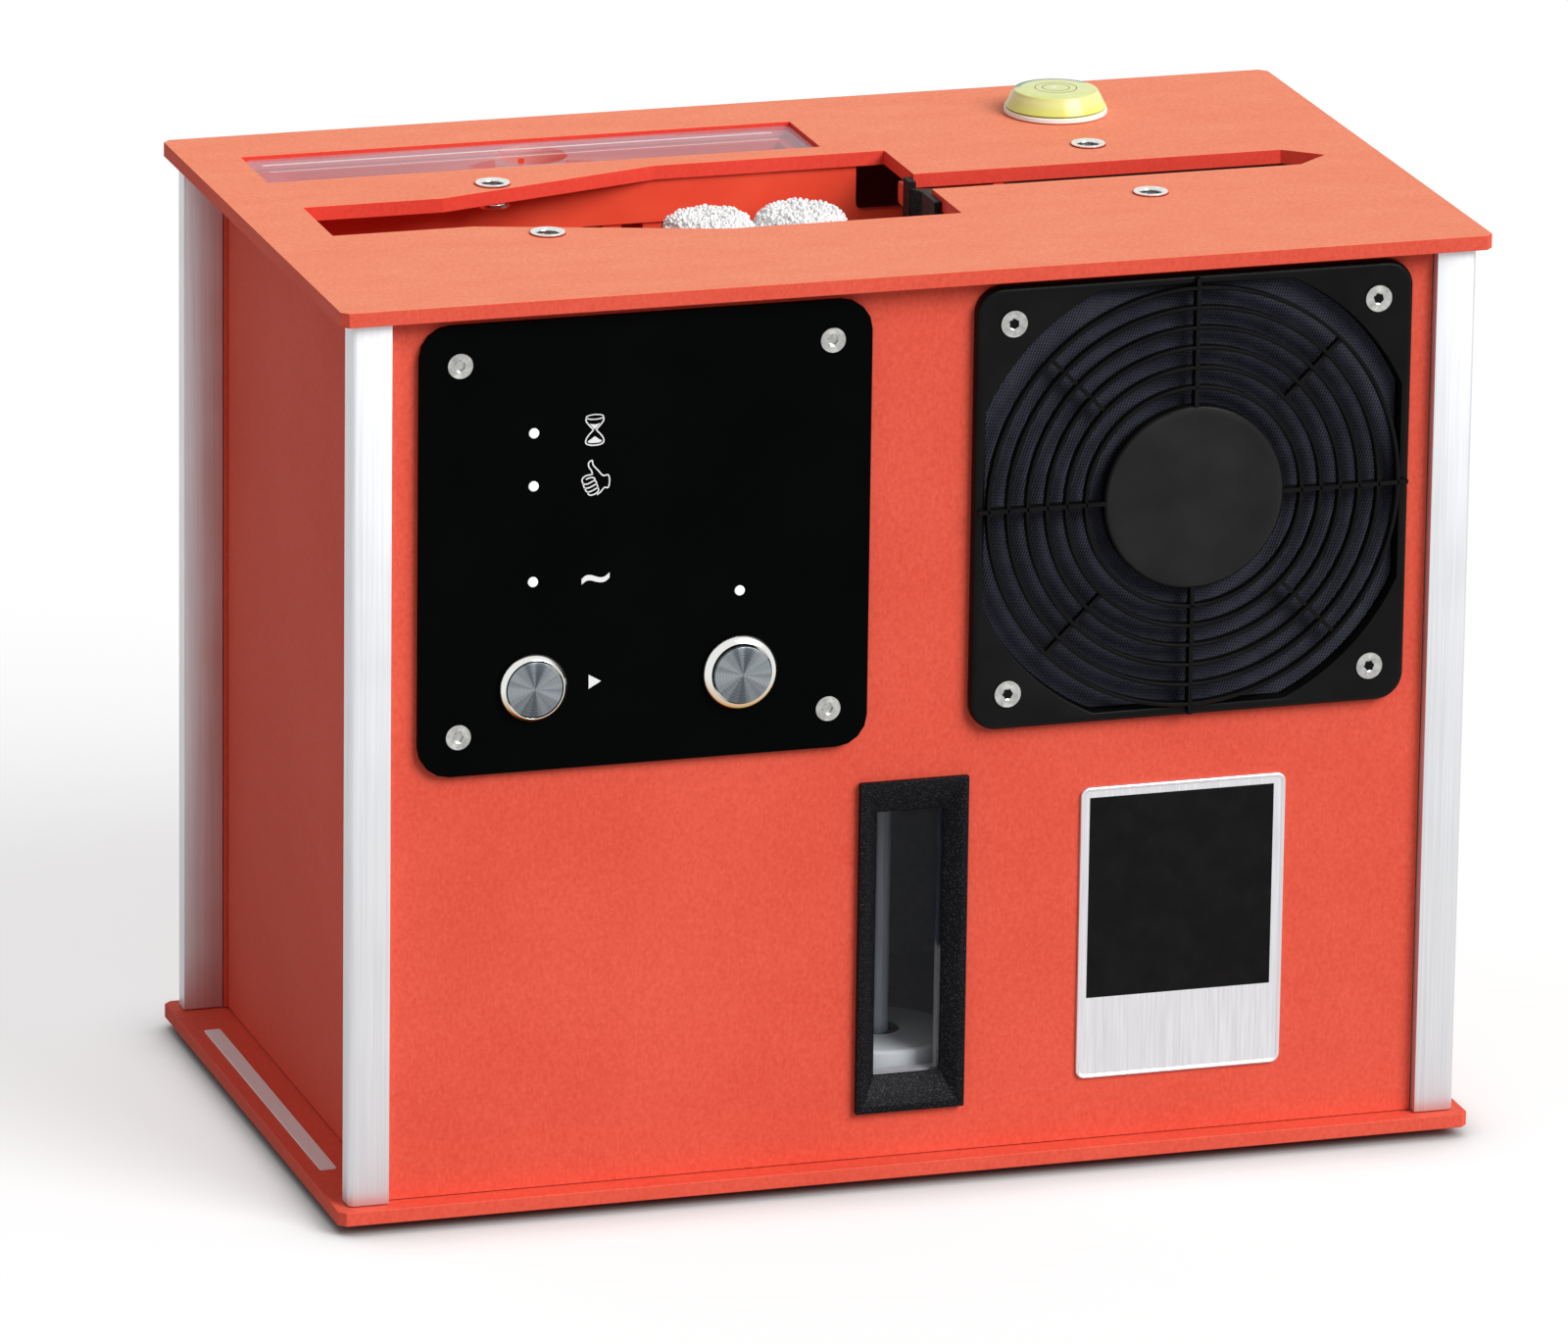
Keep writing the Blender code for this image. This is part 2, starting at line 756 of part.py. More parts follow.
def make_control_board():
    """Circuit board with its lamps and spacers, held behind the control panel."""
    green = material("circuit_board", (0.03, 0.16, 0.06), 0.5)
    board = stack_mesh("control_board", [level(rectangle(board_width / 2, board_height / 2, 0, board_rise), z)
                                         for z in (-circuit_thickness, 0)])
    back = plate_back + circuit_standoff
    piece = add_object("control_board", board, green, (plate_x, back, plate_z), (90, 0, 0))
    parts = [(x, z, lamp_radius, circuit_standoff + panel_plate_thickness) for x, z in lamp_places()]
    for side in (-1, 1):
        for rise in (-1, 1):
            parts.append((side * (board_width / 2 - spacer_inset),
                          board_rise + rise * (board_height / 2 - spacer_inset),
                          spacer_radius, circuit_standoff - seat_gap))
    for number, (x, z, radius, length) in enumerate(parts):
        name = f"board_part_{number}"
        shape = turned(name, [(radius, -circuit_thickness / 2), (radius, length)], small_segments)
        combine(piece, cutter(name, shape, (plate_x + x, back, plate_z + z), (90, 0, 0)), "UNION")


def make_buttons():
    """Bright push buttons: a bored head with its barrel, and the cap with its stem."""
    steel = material("button_steel", (0.72, 0.72, 0.70), 0.2, 1.0)
    brushed = material("cap_steel", (0.45, 0.48, 0.50), 0.35, 1.0)
    for name, column, head_radius, cap_radius, groove, proud, travel in button_sizes():
        place = (plate_x + column, plate_front, plate_z + button_height)
        recess = cap_radius + groove
        barrel = recess + barrel_wall
        face = seat_gap + head_height
        cap_top = face + proud
        cap_bottom = cap_top - cap_thickness - proud / 2
        floor = cap_bottom - travel - run_gap
        bore = stem_radius + run_gap
        head = [(barrel, -barrel_length), (barrel, seat_gap), (head_radius, seat_gap),
                (head_radius, face - head_chamfer), (head_radius - head_chamfer, face), (recess, face),
                (recess, floor), (bore, floor), (bore, -barrel_length)]
        mesh = turned(f"{name}_bezel", head, round_segments, closed=True)
        add_object(f"{name}_bezel", mesh, steel, place, (90, 0, 0), smooth=True)
        cap = [(stem_radius, cap_bottom - stem_length), (stem_radius, cap_bottom), (cap_radius, cap_bottom),
               (cap_radius, cap_top - cap_edge), (cap_radius - cap_edge, cap_top)]
        add_object(f"{name}_cap", turned(f"{name}_cap", cap), brushed, place, (90, 0, 0), smooth=True)


def sector_hole(inner, outer, middle, span, steps):
    """One gap of the grille, between two rings and two straight ribs."""
    points = []
    for radius, direction in ((inner, 1), (outer, -1)):
        half = span / 2 - math.asin(rib_width / 2 / radius)
        for step in range(steps + 1):
            angle = middle + direction * half * (2 * step / steps - 1)
            points.append((radius * math.cos(angle), radius * math.sin(angle)))
    return points


def grille_holes():
    """Every gap of the grille: whole quarters near the hub, halves where the short ribs run."""
    holes = []
    for ring in range(ring_count):
        inner = guard_hub_radius + ring * ring_pitch + (ring_width / 2 if ring else 0)
        outer = guard_hub_radius + (ring + 1) * ring_pitch - ring_width / 2
        parts = 8 if ring >= short_rib_start else 4
        span = 2 * math.pi / parts
        for part in range(parts):
            holes.append(sector_hole(inner, outer, part * span + span / 2, span, grille_segments // parts))
    return holes


def grille_outline():
    """Outer edge of the last ring, with the four long ribs running on over the frame."""
    radius = guard_hub_radius + ring_count * ring_pitch + ring_width / 2
    half = rib_width / 2
    root = math.asin(half / radius)
    steps = grille_segments // 4
    points = []
    for quarter in range(4):
        turn = quarter * math.pi / 2
        for side in (-half, half):
            points.append((rib_end_radius * math.cos(turn) - side * math.sin(turn),
                           rib_end_radius * math.sin(turn) + side * math.cos(turn)))
        for step in range(steps + 1):
            angle = turn + root + (math.pi / 2 - 2 * root) * step / steps
            points.append((radius * math.cos(angle), radius * math.sin(angle)))
    return points


def make_guard():
    """Moulded fan guard: rings, ribs and hub in a square frame with a collar behind its opening."""
    black = material("guard_black", (0.015, 0.015, 0.016), 0.5)
    place = (guard_x, front_face - seat_gap, guard_z)
    steps = len(guard_opening(0)) // 4 - 1
    edge = []
    for step in range(3):
        angle = math.pi / 2 * step / 2
        edge.append((guard_edge * (1 - math.cos(angle)), guard_thickness - guard_edge * (1 - math.sin(angle))))
    loops = []
    for inset, height in [(0, 0)] + edge:
        outline = rounded(guard_width / 2 - inset, guard_width / 2 - inset, guard_rounding - inset, steps=steps)
        loops.append(level(outline, height))
    for margin, height in ((0, guard_thickness), (0, -collar_depth), (collar_wall, -collar_depth),
                           (collar_wall, 0)):
        loops.append(level(guard_opening(margin), height))
    guard = add_object("fan_guard", stack_mesh("fan_guard", loops, closed=True), black, place, (90, 0, 0))

    front = guard_thickness + grille_proud
    grille = profile_mesh("guard_grille", grille_outline(), grille_holes(), grille_depth)
    behind = (guard_x, front_face - seat_gap - front + grille_depth, guard_z)
    combine(guard, cutter("guard_grille", grille, behind, (90, 0, 0)), "UNION")
    crown = front + guard_hub_crown
    hub = [(guard_hub_radius + ring_width / 2, front - grille_depth - seat_gap),
           (guard_hub_radius + ring_width / 2, front - guard_hub_chamfer),
           (guard_hub_radius + ring_width / 2 - guard_hub_chamfer, front), (guard_hub_radius / 2, crown)]
    combine(guard, cutter("guard_hub", turned("guard_hub", hub, grille_segments), place, (90, 0, 0)), "UNION")
    for side in (-1, 1):
        for rise in (-1, 1):
            name = f"guard_screw_hole_{side + 1}_{rise + 1}"
            hole = turned(name, [(screw_hole_radius, -cut_overrun), (screw_hole_radius, front)], small_segments)
            middle = (guard_x + side * guard_screw_pitch / 2, place[1], guard_z + rise * guard_screw_pitch / 2)
            combine(guard, cutter(name, hole, middle, (90, 0, 0)), "DIFFERENCE")

    cloth = material("filter_cloth", (0.02, 0.025, 0.045), 0.9)
    shape = guard_opening(-seat_gap)
    mesh = stack_mesh("fan_filter", [level(shape, 0), level(shape, cloth_thickness)])
    add_object("fan_filter", mesh, cloth, (guard_x, front_face + cloth_thickness, guard_z), (90, 0, 0))


def make_fan_frame():
    """Square frame of the fan with four struts that carry the bearing."""
    black = material("fan_black", (0.02, 0.02, 0.02), 0.5)
    holes = [circle(fan_bore_radius, fine_segments)]
    for side in (-1, 1):
        for rise in (-1, 1):
            holes.append(circle(screw_hole_radius, small_segments, side * guard_screw_pitch / 2,
                                rise * guard_screw_pitch / 2))
    outline = rounded(fan_width / 2, fan_width / 2, fan_rounding)
    frame = add_object("fan_frame", profile_mesh("fan_frame", outline, holes, fan_depth), black,
                       (guard_x, fan_front + fan_depth, guard_z), (90, 0, 0))
    spider = cutter("fan_spider", fan_spider_mesh(), (guard_x, fan_front + fan_depth, guard_z), (90, 0, 0))
    combine(frame, spider, "UNION")


def fan_spider_mesh():
    """Bearing disc and struts in one flat outline."""
    reach = fan_bore_radius + screw_hole_radius / 2
    half = strut_width / 2
    root = math.asin(half / spider_radius)
    steps = round_segments // strut_count
    points = []
    for strut in range(strut_count):
        turn = 2 * math.pi * (strut + 0.5) / strut_count
        for x, y in ((reach, -half), (reach, half)):
            points.append((x * math.cos(turn) - y * math.sin(turn), x * math.sin(turn) + y * math.cos(turn)))
        span = 2 * math.pi / strut_count - 2 * root
        for step in range(steps + 1):
            angle = turn + root + span * step / steps
            points.append((spider_radius * math.cos(angle), spider_radius * math.sin(angle)))
    bearing = circle(rotor_shaft_radius + run_gap, small_segments)
    return profile_mesh("fan_spider", points, [bearing], spider_thickness)


def blade_section(radius, angle):
    """A slightly bowed blade section, at one distance from the hub's axis."""
    half = blade_chord / 2
    lean = math.radians(angle)
    points = []
    for along, across in ((-1, 0), (0, blade_thickness), (1, 0), (1, -blade_thickness / 2),
                          (0, blade_thickness / 2), (-1, -blade_thickness / 2)):
        tangent = along * half * math.cos(lean) - across * math.sin(lean)
        axial = along * half * math.sin(lean) + across * math.cos(lean)
        swing = tangent / radius
        points.append((radius * math.cos(swing), radius * math.sin(swing), axial))
    return points


def make_rotor():
    """Fan rotor: a hub cup with its shaft and a ring of twisted blades."""
    black = material("rotor_black", (0.025, 0.025, 0.025), 0.45)
    front = fan_front + (fan_depth - spider_thickness - rotor_hub_depth) / 2
    middle = front + rotor_hub_depth / 2
    half = rotor_hub_depth / 2
    shaft_end = fan_front + fan_depth - middle
    hub = [(rotor_shaft_radius, -shaft_end), (rotor_shaft_radius, -half), (rotor_hub_radius, -half),
           (rotor_hub_radius, half - head_chamfer), (rotor_hub_radius - head_chamfer, half)]
    place = (guard_x, middle, guard_z)
    rotor = add_object("fan_rotor", turned("fan_rotor", hub), black, place, (90, 0, 0))
    tip = fan_bore_radius - rotor_tip_gap
    root = rotor_hub_radius - blade_sink
    work = bmesh.new()
    for blade in range(blade_count):
        turn = 2 * math.pi * blade / blade_count
        rows = []
        for share in (0, 1 / 3, 2 / 3, 1):
            section = blade_section(root + (tip - root) * share,
                                    blade_root_angle + (blade_tip_angle - blade_root_angle) * share)
            rows.append([work.verts.new((x * math.cos(turn) - y * math.sin(turn),
                                         x * math.sin(turn) + y * math.cos(turn), z)) for x, y, z in section])
        for low, high in zip(rows, rows[1:]):
            for index in range(len(low)):
                work.faces.new((low[index - 1], low[index], high[index], high[index - 1]))
        work.faces.new(rows[0])
        work.faces.new(list(reversed(rows[-1])))
    combine(rotor, cutter("rotor_blades", finish_mesh("rotor_blades", work), place, (90, 0, 0)), "UNION")


def duct_sections():
    """Half sizes and middles of the duct, from the fan to the drying channel."""
    mouth = fan_width / 2 - duct_mouth_inset
    left = chamber_end + chamber_wall + seat_gap
    right = guard_x + mouth
    start = fan_front + fan_depth + seat_gap
    neck = slot_shift - chamber_half - chamber_wall - seat_gap
    end = slot_shift - exit_width / 2 - chamber_margin - channel_wall - seat_gap
    outlet_top = wall_top - duct_outlet_drop
    outlet_base = outlet_top - duct_outlet_height
    neck_base = outlet_base - (end - neck)
    return [(start, guard_x - mouth, right, guard_z - mouth, guard_z + mouth),
            (neck, left, right, neck_base, outlet_top),
            (end, left, right, outlet_base, outlet_top)]


def make_duct():
    """Air duct between the fan and the drying channel."""
    black = material("duct_black", (0.03, 0.03, 0.03), 0.6)
    loops = []
    for inset, sections in ((0, duct_sections()), (duct_wall, reversed(duct_sections()))):
        for y, x0, x1, z0, z1 in sections:
            loops.append([(x0 + inset, y, z0 + inset), (x1 - inset, y, z0 + inset),
                          (x1 - inset, y, z1 - inset), (x0 + inset, y, z1 - inset)])
    add_object("air_duct", stack_mesh("air_duct", loops, closed=True), black)


def sleeve_half_sizes():
    """Half width and height of the window frame's sleeve through the panel."""
    return (light_width / 2 + pane_margin + seat_gap + sleeve_wall,
            light_height / 2 + pane_margin + seat_gap + sleeve_wall)


def make_window():
    """Bevelled window frame with its pane clipped in from behind."""
    black = material("window_black", (0.03, 0.03, 0.032), 0.7)
    wide, high = window_width / 2, window_height / 2
    body_x, body_z = sleeve_half_sizes()
    pocket_x, pocket_z = body_x - sleeve_wall, body_z - sleeve_wall
    seat = front_face - seat_gap
    rings = [(wide, high, seat), (wide, high, window_front),
             (wide - window_rim, high - window_rim, window_front),
             (light_width / 2, light_height / 2, light_face),
             (light_width / 2, light_height / 2, light_face + window_lip),
             (pocket_x, pocket_z, light_face + window_lip), (pocket_x, pocket_z, sleeve_back),
             (body_x, body_z, sleeve_back), (body_x, body_z, seat)]
    loops = [[(x, y, z) for x, z in rectangle(half_x, half_z, window_shift, window_z)]
             for half_x, half_z, y in rings]
    add_object("window_bezel", stack_mesh("window_bezel", loops, closed=True), black)

    clear = material("window_clear", (0.75, 0.80, 0.82), 0.05)
    outline = rectangle(pocket_x - seat_gap, pocket_z - seat_gap, window_shift, window_z)
    front = light_face + window_lip + seat_gap
    loops = [[(x, y, z) for x, z in outline] for y in (front, front + pane_thickness)]
    add_object("window_pane", stack_mesh("window_pane", loops), clear)


def make_tank():
    """Water tank with an opening behind the window, and the rod of its float."""
    grey = material("tank_grey", (0.10, 0.10, 0.11), 0.5)
    right = side_inside - tank_rear_space
    rear = -front_back - seat_gap - tank_rear_space
    middle_x, half_x = (tank_left + right) / 2, (right - tank_left) / 2
    middle_y, half_y = (tank_front + rear) / 2, (rear - tank_front) / 2
    outer = rectangle(half_x, half_y, middle_x, middle_y)
    inner = rectangle(half_x - tank_wall, half_y - tank_wall, middle_x, middle_y)
    top = wall_base + tank_height
    floor = wall_base + tank_wall
    mesh = stack_mesh("water_tank", [level(outer, wall_base), level(outer, top), level(inner, top),
                                     level(inner, floor)])
    tank = add_object("water_tank", mesh, grey)
    low = (window_shift - light_width / 2 - window_lip, tank_front - cut_overrun,
           window_z - light_height / 2 - window_lip)
    high = (window_shift + light_width / 2 + window_lip, tank_front + tank_wall + cut_overrun,
            window_z + light_height / 2 + window_lip)
    cut_box(tank, "tank_window", low, high)

    steel = material("rod_steel", (0.55, 0.57, 0.60), 0.3, 1.0)
    foot = floor + seat_gap
    shoulder = floor + float_rest
    rod = [(rod_foot_radius, foot), (rod_foot_radius, shoulder), (rod_radius, shoulder),
           (rod_radius, shoulder + rod_length - float_rest)]
    x, y = window_shift + float_shift, tank_front + float_setback
    add_object("float_rod", turned("float_rod", rod, small_segments), steel, (x, y, 0), smooth=True)
    make_float(x, y, shoulder + seat_gap)


def make_float(x, y, base):
    """Float disc with the steel grommet that runs on the rod."""
    white = material("float_white", (0.80, 0.85, 0.86), 0.5)
    bore = rod_radius + run_gap
    disc = [(bore, 0), (float_radius, 0), (float_radius, float_thickness), (grommet_radius, float_thickness),
            (grommet_radius, float_thickness + grommet_height), (bore, float_thickness + grommet_height)]
    mesh = turned("float_disc", disc, round_segments, closed=True)
    add_object("float_disc", mesh, white, (x, y, base), smooth=True)


def make_pump():
    """Circulation pump standing on the bottom board beside the tank."""
    black = material("pump_black", (0.03, 0.03, 0.03), 0.5)
    z = wall_base
    waist = z + pump_flange_thickness
    neck = waist + pump_body_height
    crown = neck + pump_head_height
    body = [(pump_flange_radius, z), (pump_flange_radius, waist), (pump_body_radius, waist),
            (pump_body_radius, neck), (pump_head_radius, neck), (pump_head_radius, crown - pump_cap_chamfer),
            (pump_head_radius - pump_cap_chamfer, crown)]
    y = front_back + pump_setback
    pump = add_object("circulation_pump", turned("circulation_pump", body), black, (pump_left, y, 0))
    spout = turned("pump_spout", [(pump_spout_radius, 0), (pump_spout_radius, pump_head_radius + pump_spout_length)],
                   small_segments)
    combine(pump, cutter("pump_spout", spout, (pump_left, y, neck + pump_head_height / 2), (90, 0, 0)), "UNION")


def roller_places():
    """Name and middle of each roller."""
    for depth_name, depth_side in (("front", -1), ("rear", 1)):
        for side_name, side in (("left", -1), ("right", 1)):
            yield (f"{depth_name}_{side_name}", roller_x + side * roller_pitch / 2,
                   slot_shift + depth_side * roller_pitch / 2)


def make_chamber():
    """Wash chamber: a deep tub under the slot, open towards the drying channel."""
    red = material("chamber_red", (0.72, 0.08, 0.04), 0.6)
    outer = chamber_outline(chamber_wall, chamber_end_wall)
    inner = chamber_outline(0, 0)
    mesh = stack_mesh("wash_chamber", [level(outer, chamber_base), level(outer, wall_top),
                                       level(inner, wall_top), level(inner, floor_top)])
    chamber = add_object("wash_chamber", mesh, red)
    half = exit_width / 2
    cut_box(chamber, "record_passage", (chamber_end - cut_overrun, slot_shift - half, floor_top),
            (chamber_end + chamber_wall + cut_overrun, slot_shift + half, wall_top + cut_overrun))
    cut_air_window(chamber)
    rear = slot_shift + chamber_half
    slit_top = wall_top - slit_drop
    end = slit_start + slit_count * slit_pitch
    cut_box(chamber, "wall_recess", (slit_start, rear - cut_overrun, slit_top - slit_height),
            (end, rear + recess_depth, slit_top))
    for number in range(slit_count):
        left = slit_start + number * slit_pitch
        cut_box(chamber, f"slit_{number}", (left, rear, slit_top - slit_height),
                (left + slit_width, rear + chamber_wall + cut_overrun, slit_top))
    for name, x, y in roller_places():
        hole = turned(f"spindle_hole_{name}", [(spindle_radius + run_gap, chamber_base - cut_overrun),
                                               (spindle_radius + run_gap, floor_top + cut_overrun)],
                      small_segments)
        combine(chamber, cutter(f"spindle_hole_{name}", hole, (x, y, 0)), "DIFFERENCE")
    axle_hole(chamber, "drive_axle_hole", record_x - wheel_offset, chamber_half, chamber_wall)


def cut_air_window(chamber):
    """Air opening in the rear wall near the wipers, rounded at its lower corners."""
    left = step_x + air_window_start
    right = left + air_window_length
    low = wall_top - air_window_height
    high = wall_top + cut_overrun
    outline = [(right, high), (left, high)]
    for corner_x, start in ((left + air_window_rounding, 2), (right - air_window_rounding, 3)):
        for step in range(corner_steps + 1):
            angle = math.pi / 2 * (start + step / corner_steps)
            outline.append((corner_x + air_window_rounding * math.cos(angle),
                            low + air_window_rounding + air_window_rounding * math.sin(angle)))
    rear = slot_shift + chamber_half
    loops = [[(x, y, z) for x, z in outline] for y in (rear - cut_overrun, rear + chamber_wall + cut_overrun)]
    combine(chamber, cutter("air_window", stack_mesh("air_window", loops)), "DIFFERENCE")


def axle_hole(piece, name, x, inner_half, wall):
    """A bearing hole for a wheel's axle through both walls."""
    reach = inner_half + wall + cut_overrun
    tool = turned(name, [(axle_radius + run_gap, -reach), (axle_radius + run_gap, reach)], small_segments)
    combine(piece, cutter(name, tool, (x, slot_shift, wheel_height()), (90, 0, 0)), "DIFFERENCE")


def wheel_height():
    """Height of the wheels that carry the record's edge."""
    carry = record_radius + groove_radius
    return record_z - math.sqrt(carry * carry - wheel_offset * wheel_offset)


def make_channel():
    """Drying channel around the narrow end of the slot, with its air inlet."""
    black = material("channel_black", (0.04, 0.04, 0.04), 0.6)
    left = chamber_end + chamber_wall + seat_gap
    right = side_inside - channel_end_space
    half_y = exit_width / 2 + chamber_margin
    middle_x, half_x = (left + right) / 2, (right - left) / 2
    outer = rectangle(half_x, half_y + channel_wall, middle_x, slot_shift)
    inner = rectangle(half_x - channel_wall, half_y, middle_x, slot_shift)
    mesh = stack_mesh("drying_channel", [level(outer, chamber_base), level(outer, wall_top),
                                         level(inner, wall_top), level(inner, floor_top)])
    channel = add_object("drying_channel", mesh, black)
    cut_box(channel, "channel_passage", (left - cut_overrun, slot_shift - exit_width / 2, floor_top),
            (left + channel_wall + cut_overrun, slot_shift + exit_width / 2, wall_top + cut_overrun))
    _, x0, x1, z0, z1 = duct_sections()[-1]
    front = slot_shift - half_y - channel_wall
    reach = min(x1 - duct_wall, right - channel_wall)
    cut_box(channel, "air_inlet", (x0 + channel_wall + duct_wall, front - cut_overrun, z0 + duct_wall),
            (reach, front + channel_wall + cut_overrun, z1 - duct_wall))
    axle_hole(channel, "support_axle_hole", record_x + wheel_offset, half_y, channel_wall)


def make_rollers():
    """Four microfibre sleeves, each with a soft round top, on four geared spindles."""
    white = material("microfibre_white", (0.90, 0.90, 0.90), 0.95)
    grey = material("spindle_grey", (0.35, 0.36, 0.38), 0.5)
    flange_base = floor_top + run_gap
    flange_top = flange_base + core_flange_thickness
    sleeve_base = flange_top + seat_gap
    sleeve_top = top_face - roller_top
    core_top = sleeve_top - core_end
    bore = core_radius + seat_gap
    for name, x, y in roller_places():
        sleeve = [(bore, core_top + seat_gap), (bore, sleeve_base), (roller_radius, sleeve_base),
                  (roller_radius, sleeve_top - sleeve_shoulder)]
        for step in range(1, corner_steps):
            angle = math.pi / 2 * step / corner_steps
            sleeve.append((roller_radius - sleeve_shoulder + sleeve_shoulder * math.cos(angle),
                           sleeve_top - sleeve_shoulder + sleeve_shoulder * math.sin(angle)))
        sleeve.append((roller_radius - sleeve_shoulder, sleeve_top))
        mesh = turned(f"roller_sleeve_{name}", sleeve)
        add_object(f"roller_sleeve_{name}", mesh, white, (x, y, 0), smooth=True)
        shaft = [(journal_radius, gear_plate_base), (journal_radius, gear_plate_top + seat_gap),
                 (spindle_radius, gear_plate_top + seat_gap), (spindle_radius, flange_base),
                 (core_flange_radius, flange_base), (core_flange_radius, flange_top),
                 (core_radius, flange_top), (core_radius, core_top)]
        spindle = add_object(f"roller_spindle_{name}", turned(f"roller_spindle_{name}", shaft, small_segments),
                             grey, (x, y, 0))
        gear = cutter(f"roller_gear_{name}", gear_mesh(f"roller_gear_{name}", tooth_phase(0.5)), (x, y, gear_base))
        combine(spindle, gear, "UNION")


def tooth_phase(share):
    """Angle of a gear's first tooth, a share of the tooth spacing away from 45 degrees."""
    return math.pi / 4 + share * 2 * math.pi / gear_teeth


def gear_mesh(name, phase):
    """Spur gear with straight flanks, solid in the middle."""
    module = gear_centre_distance / gear_teeth
    pitch_radius = gear_centre_distance / 2
    tip = pitch_radius + module
    root = pitch_radius - module - tooth_gap
    spacing = 2 * math.pi / gear_teeth
    thin = tooth_gap / pitch_radius
    root_share, tip_share = 0.36, 0.13
    outline = []
    for tooth in range(gear_teeth):
        middle = phase + tooth * spacing
        for radius, share in ((root, -root_share), (tip, -tip_share), (tip, tip_share), (root, root_share)):
            angle = middle + share * spacing - math.copysign(thin / 2, share)
            outline.append((radius * math.cos(angle), radius * math.sin(angle)))
    return stack_mesh(name, [level(outline, 0), level(outline, gear_thickness)])


def make_gear_drive():
    """Bearing plate under the chamber, with the flat motor and its sun gear."""
    grey = material("gear_plate_grey", (0.30, 0.30, 0.32), 0.5)
    holes = [circle(motor_boss_radius + seat_gap, small_segments)]
    for _, x, y in roller_places():
        holes.append(circle(journal_radius + run_gap, small_segments, x - roller_x, y - slot_shift))
    outline = rounded(gear_plate_half, gear_plate_half, gear_plate_rounding)
    plate = add_object("gear_plate", profile_mesh("gear_plate", outline, holes, gear_plate_thickness), grey,
                       (roller_x, slot_shift, gear_plate_base))
    for side in (-1, 1):
        for rise in (-1, 1):
            name = f"gear_post_{side + 1}_{rise + 1}"
            post = turned(name, [(post_radius, gear_plate_top - post_sink),
                                 (post_radius, chamber_base - seat_gap)], small_segments)
            place = (roller_x + side * post_offset, slot_shift + rise * post_offset, 0)
            combine(plate, cutter(name, post, place), "UNION")

    steel = material("motor_steel", (0.25, 0.25, 0.27), 0.4, 0.8)
    motor_top = gear_plate_base - seat_gap
    bore = journal_radius + run_gap
    motor = add_object("roller_motor",
                       profile_mesh("roller_motor", rounded(motor_half, motor_half, motor_rounding), [], motor_height),
                       steel, (roller_x, slot_shift, motor_top - motor_height))
    boss = turned("motor_boss", [(motor_boss_radius, motor_top - motor_boss_height),
                                 (motor_boss_radius, motor_top + motor_boss_height)], small_segments)
    combine(motor, cutter("motor_boss", boss, (roller_x, slot_shift, 0)), "UNION")
    hole = turned("motor_bore", [(bore, motor_top - shaft_depth), (bore, motor_top + cut_overrun)], small_segments)
    combine(motor, cutter("motor_bore", hole, (roller_x, slot_shift, 0)), "DIFFERENCE")

    white = material("gear_white", (0.75, 0.74, 0.70), 0.5)
    shaft = [(journal_radius, motor_top - shaft_depth + run_gap), (journal_radius, gear_base),
             (spindle_radius, gear_base), (spindle_radius, gear_base + gear_thickness + tooth_gap)]
    sun = add_object("sun_gear", turned("sun_gear", shaft, small_segments), white, (roller_x, slot_shift, 0))
    combine(sun, cutter("sun_teeth", gear_mesh("sun_teeth", tooth_phase(0)), (roller_x, slot_shift, gear_base)),
            "UNION")


def make_wipers():
    """A wiper on each side of the record: an upright strip at the step, with a lip that trails."""
    rubber = material("wiper_rubber", (0.03, 0.028, 0.028), 0.7)
    base = floor_top + seat_gap
    right = step_x - seat_gap
    left = right - strip_width
    for name, side, inner, outer in (("front", -1, strip_front_inner, strip_front_outer),
                                     ("rear", 1, strip_rear_inner, strip_rear_outer)):
        strip = [(left, inner), (right, inner), (right, outer), (left, outer)]
        lip = [(left, inner + lip_sink), (right, inner + lip_sink), (step_x + lip_right, inner - lip_taper),
               (step_x + lip_tip_right, seat_gap / 2), (step_x + lip_tip_left, seat_gap / 2)]
        loops = [[(x, slot_shift + side * y, z) for x, y in strip] for z in (base, top_face - strip_top)]
        wiper = add_object(f"wiper_{name}", stack_mesh(f"wiper_{name}", loops), rubber)
        loops = [[(x, slot_shift + side * y, z) for x, y in lip] for z in (base + lip_sink, top_face - lip_top)]
        combine(wiper, cutter(f"lip_{name}", stack_mesh(f"lip_{name}", loops)), "UNION")


def wheel_profile(front_end, rear_end):
    """Grooved wheel with a collar each side, turned together with its axle."""
    half = wheel_width / 2
    groove = groove_width / 2
    return [(axle_radius, -rear_end), (axle_radius, -half), (wheel_radius, -half), (wheel_radius, -groove),
            (groove_radius, 0), (wheel_radius, groove), (wheel_radius, half), (axle_radius, half),
            (axle_radius, front_end)]


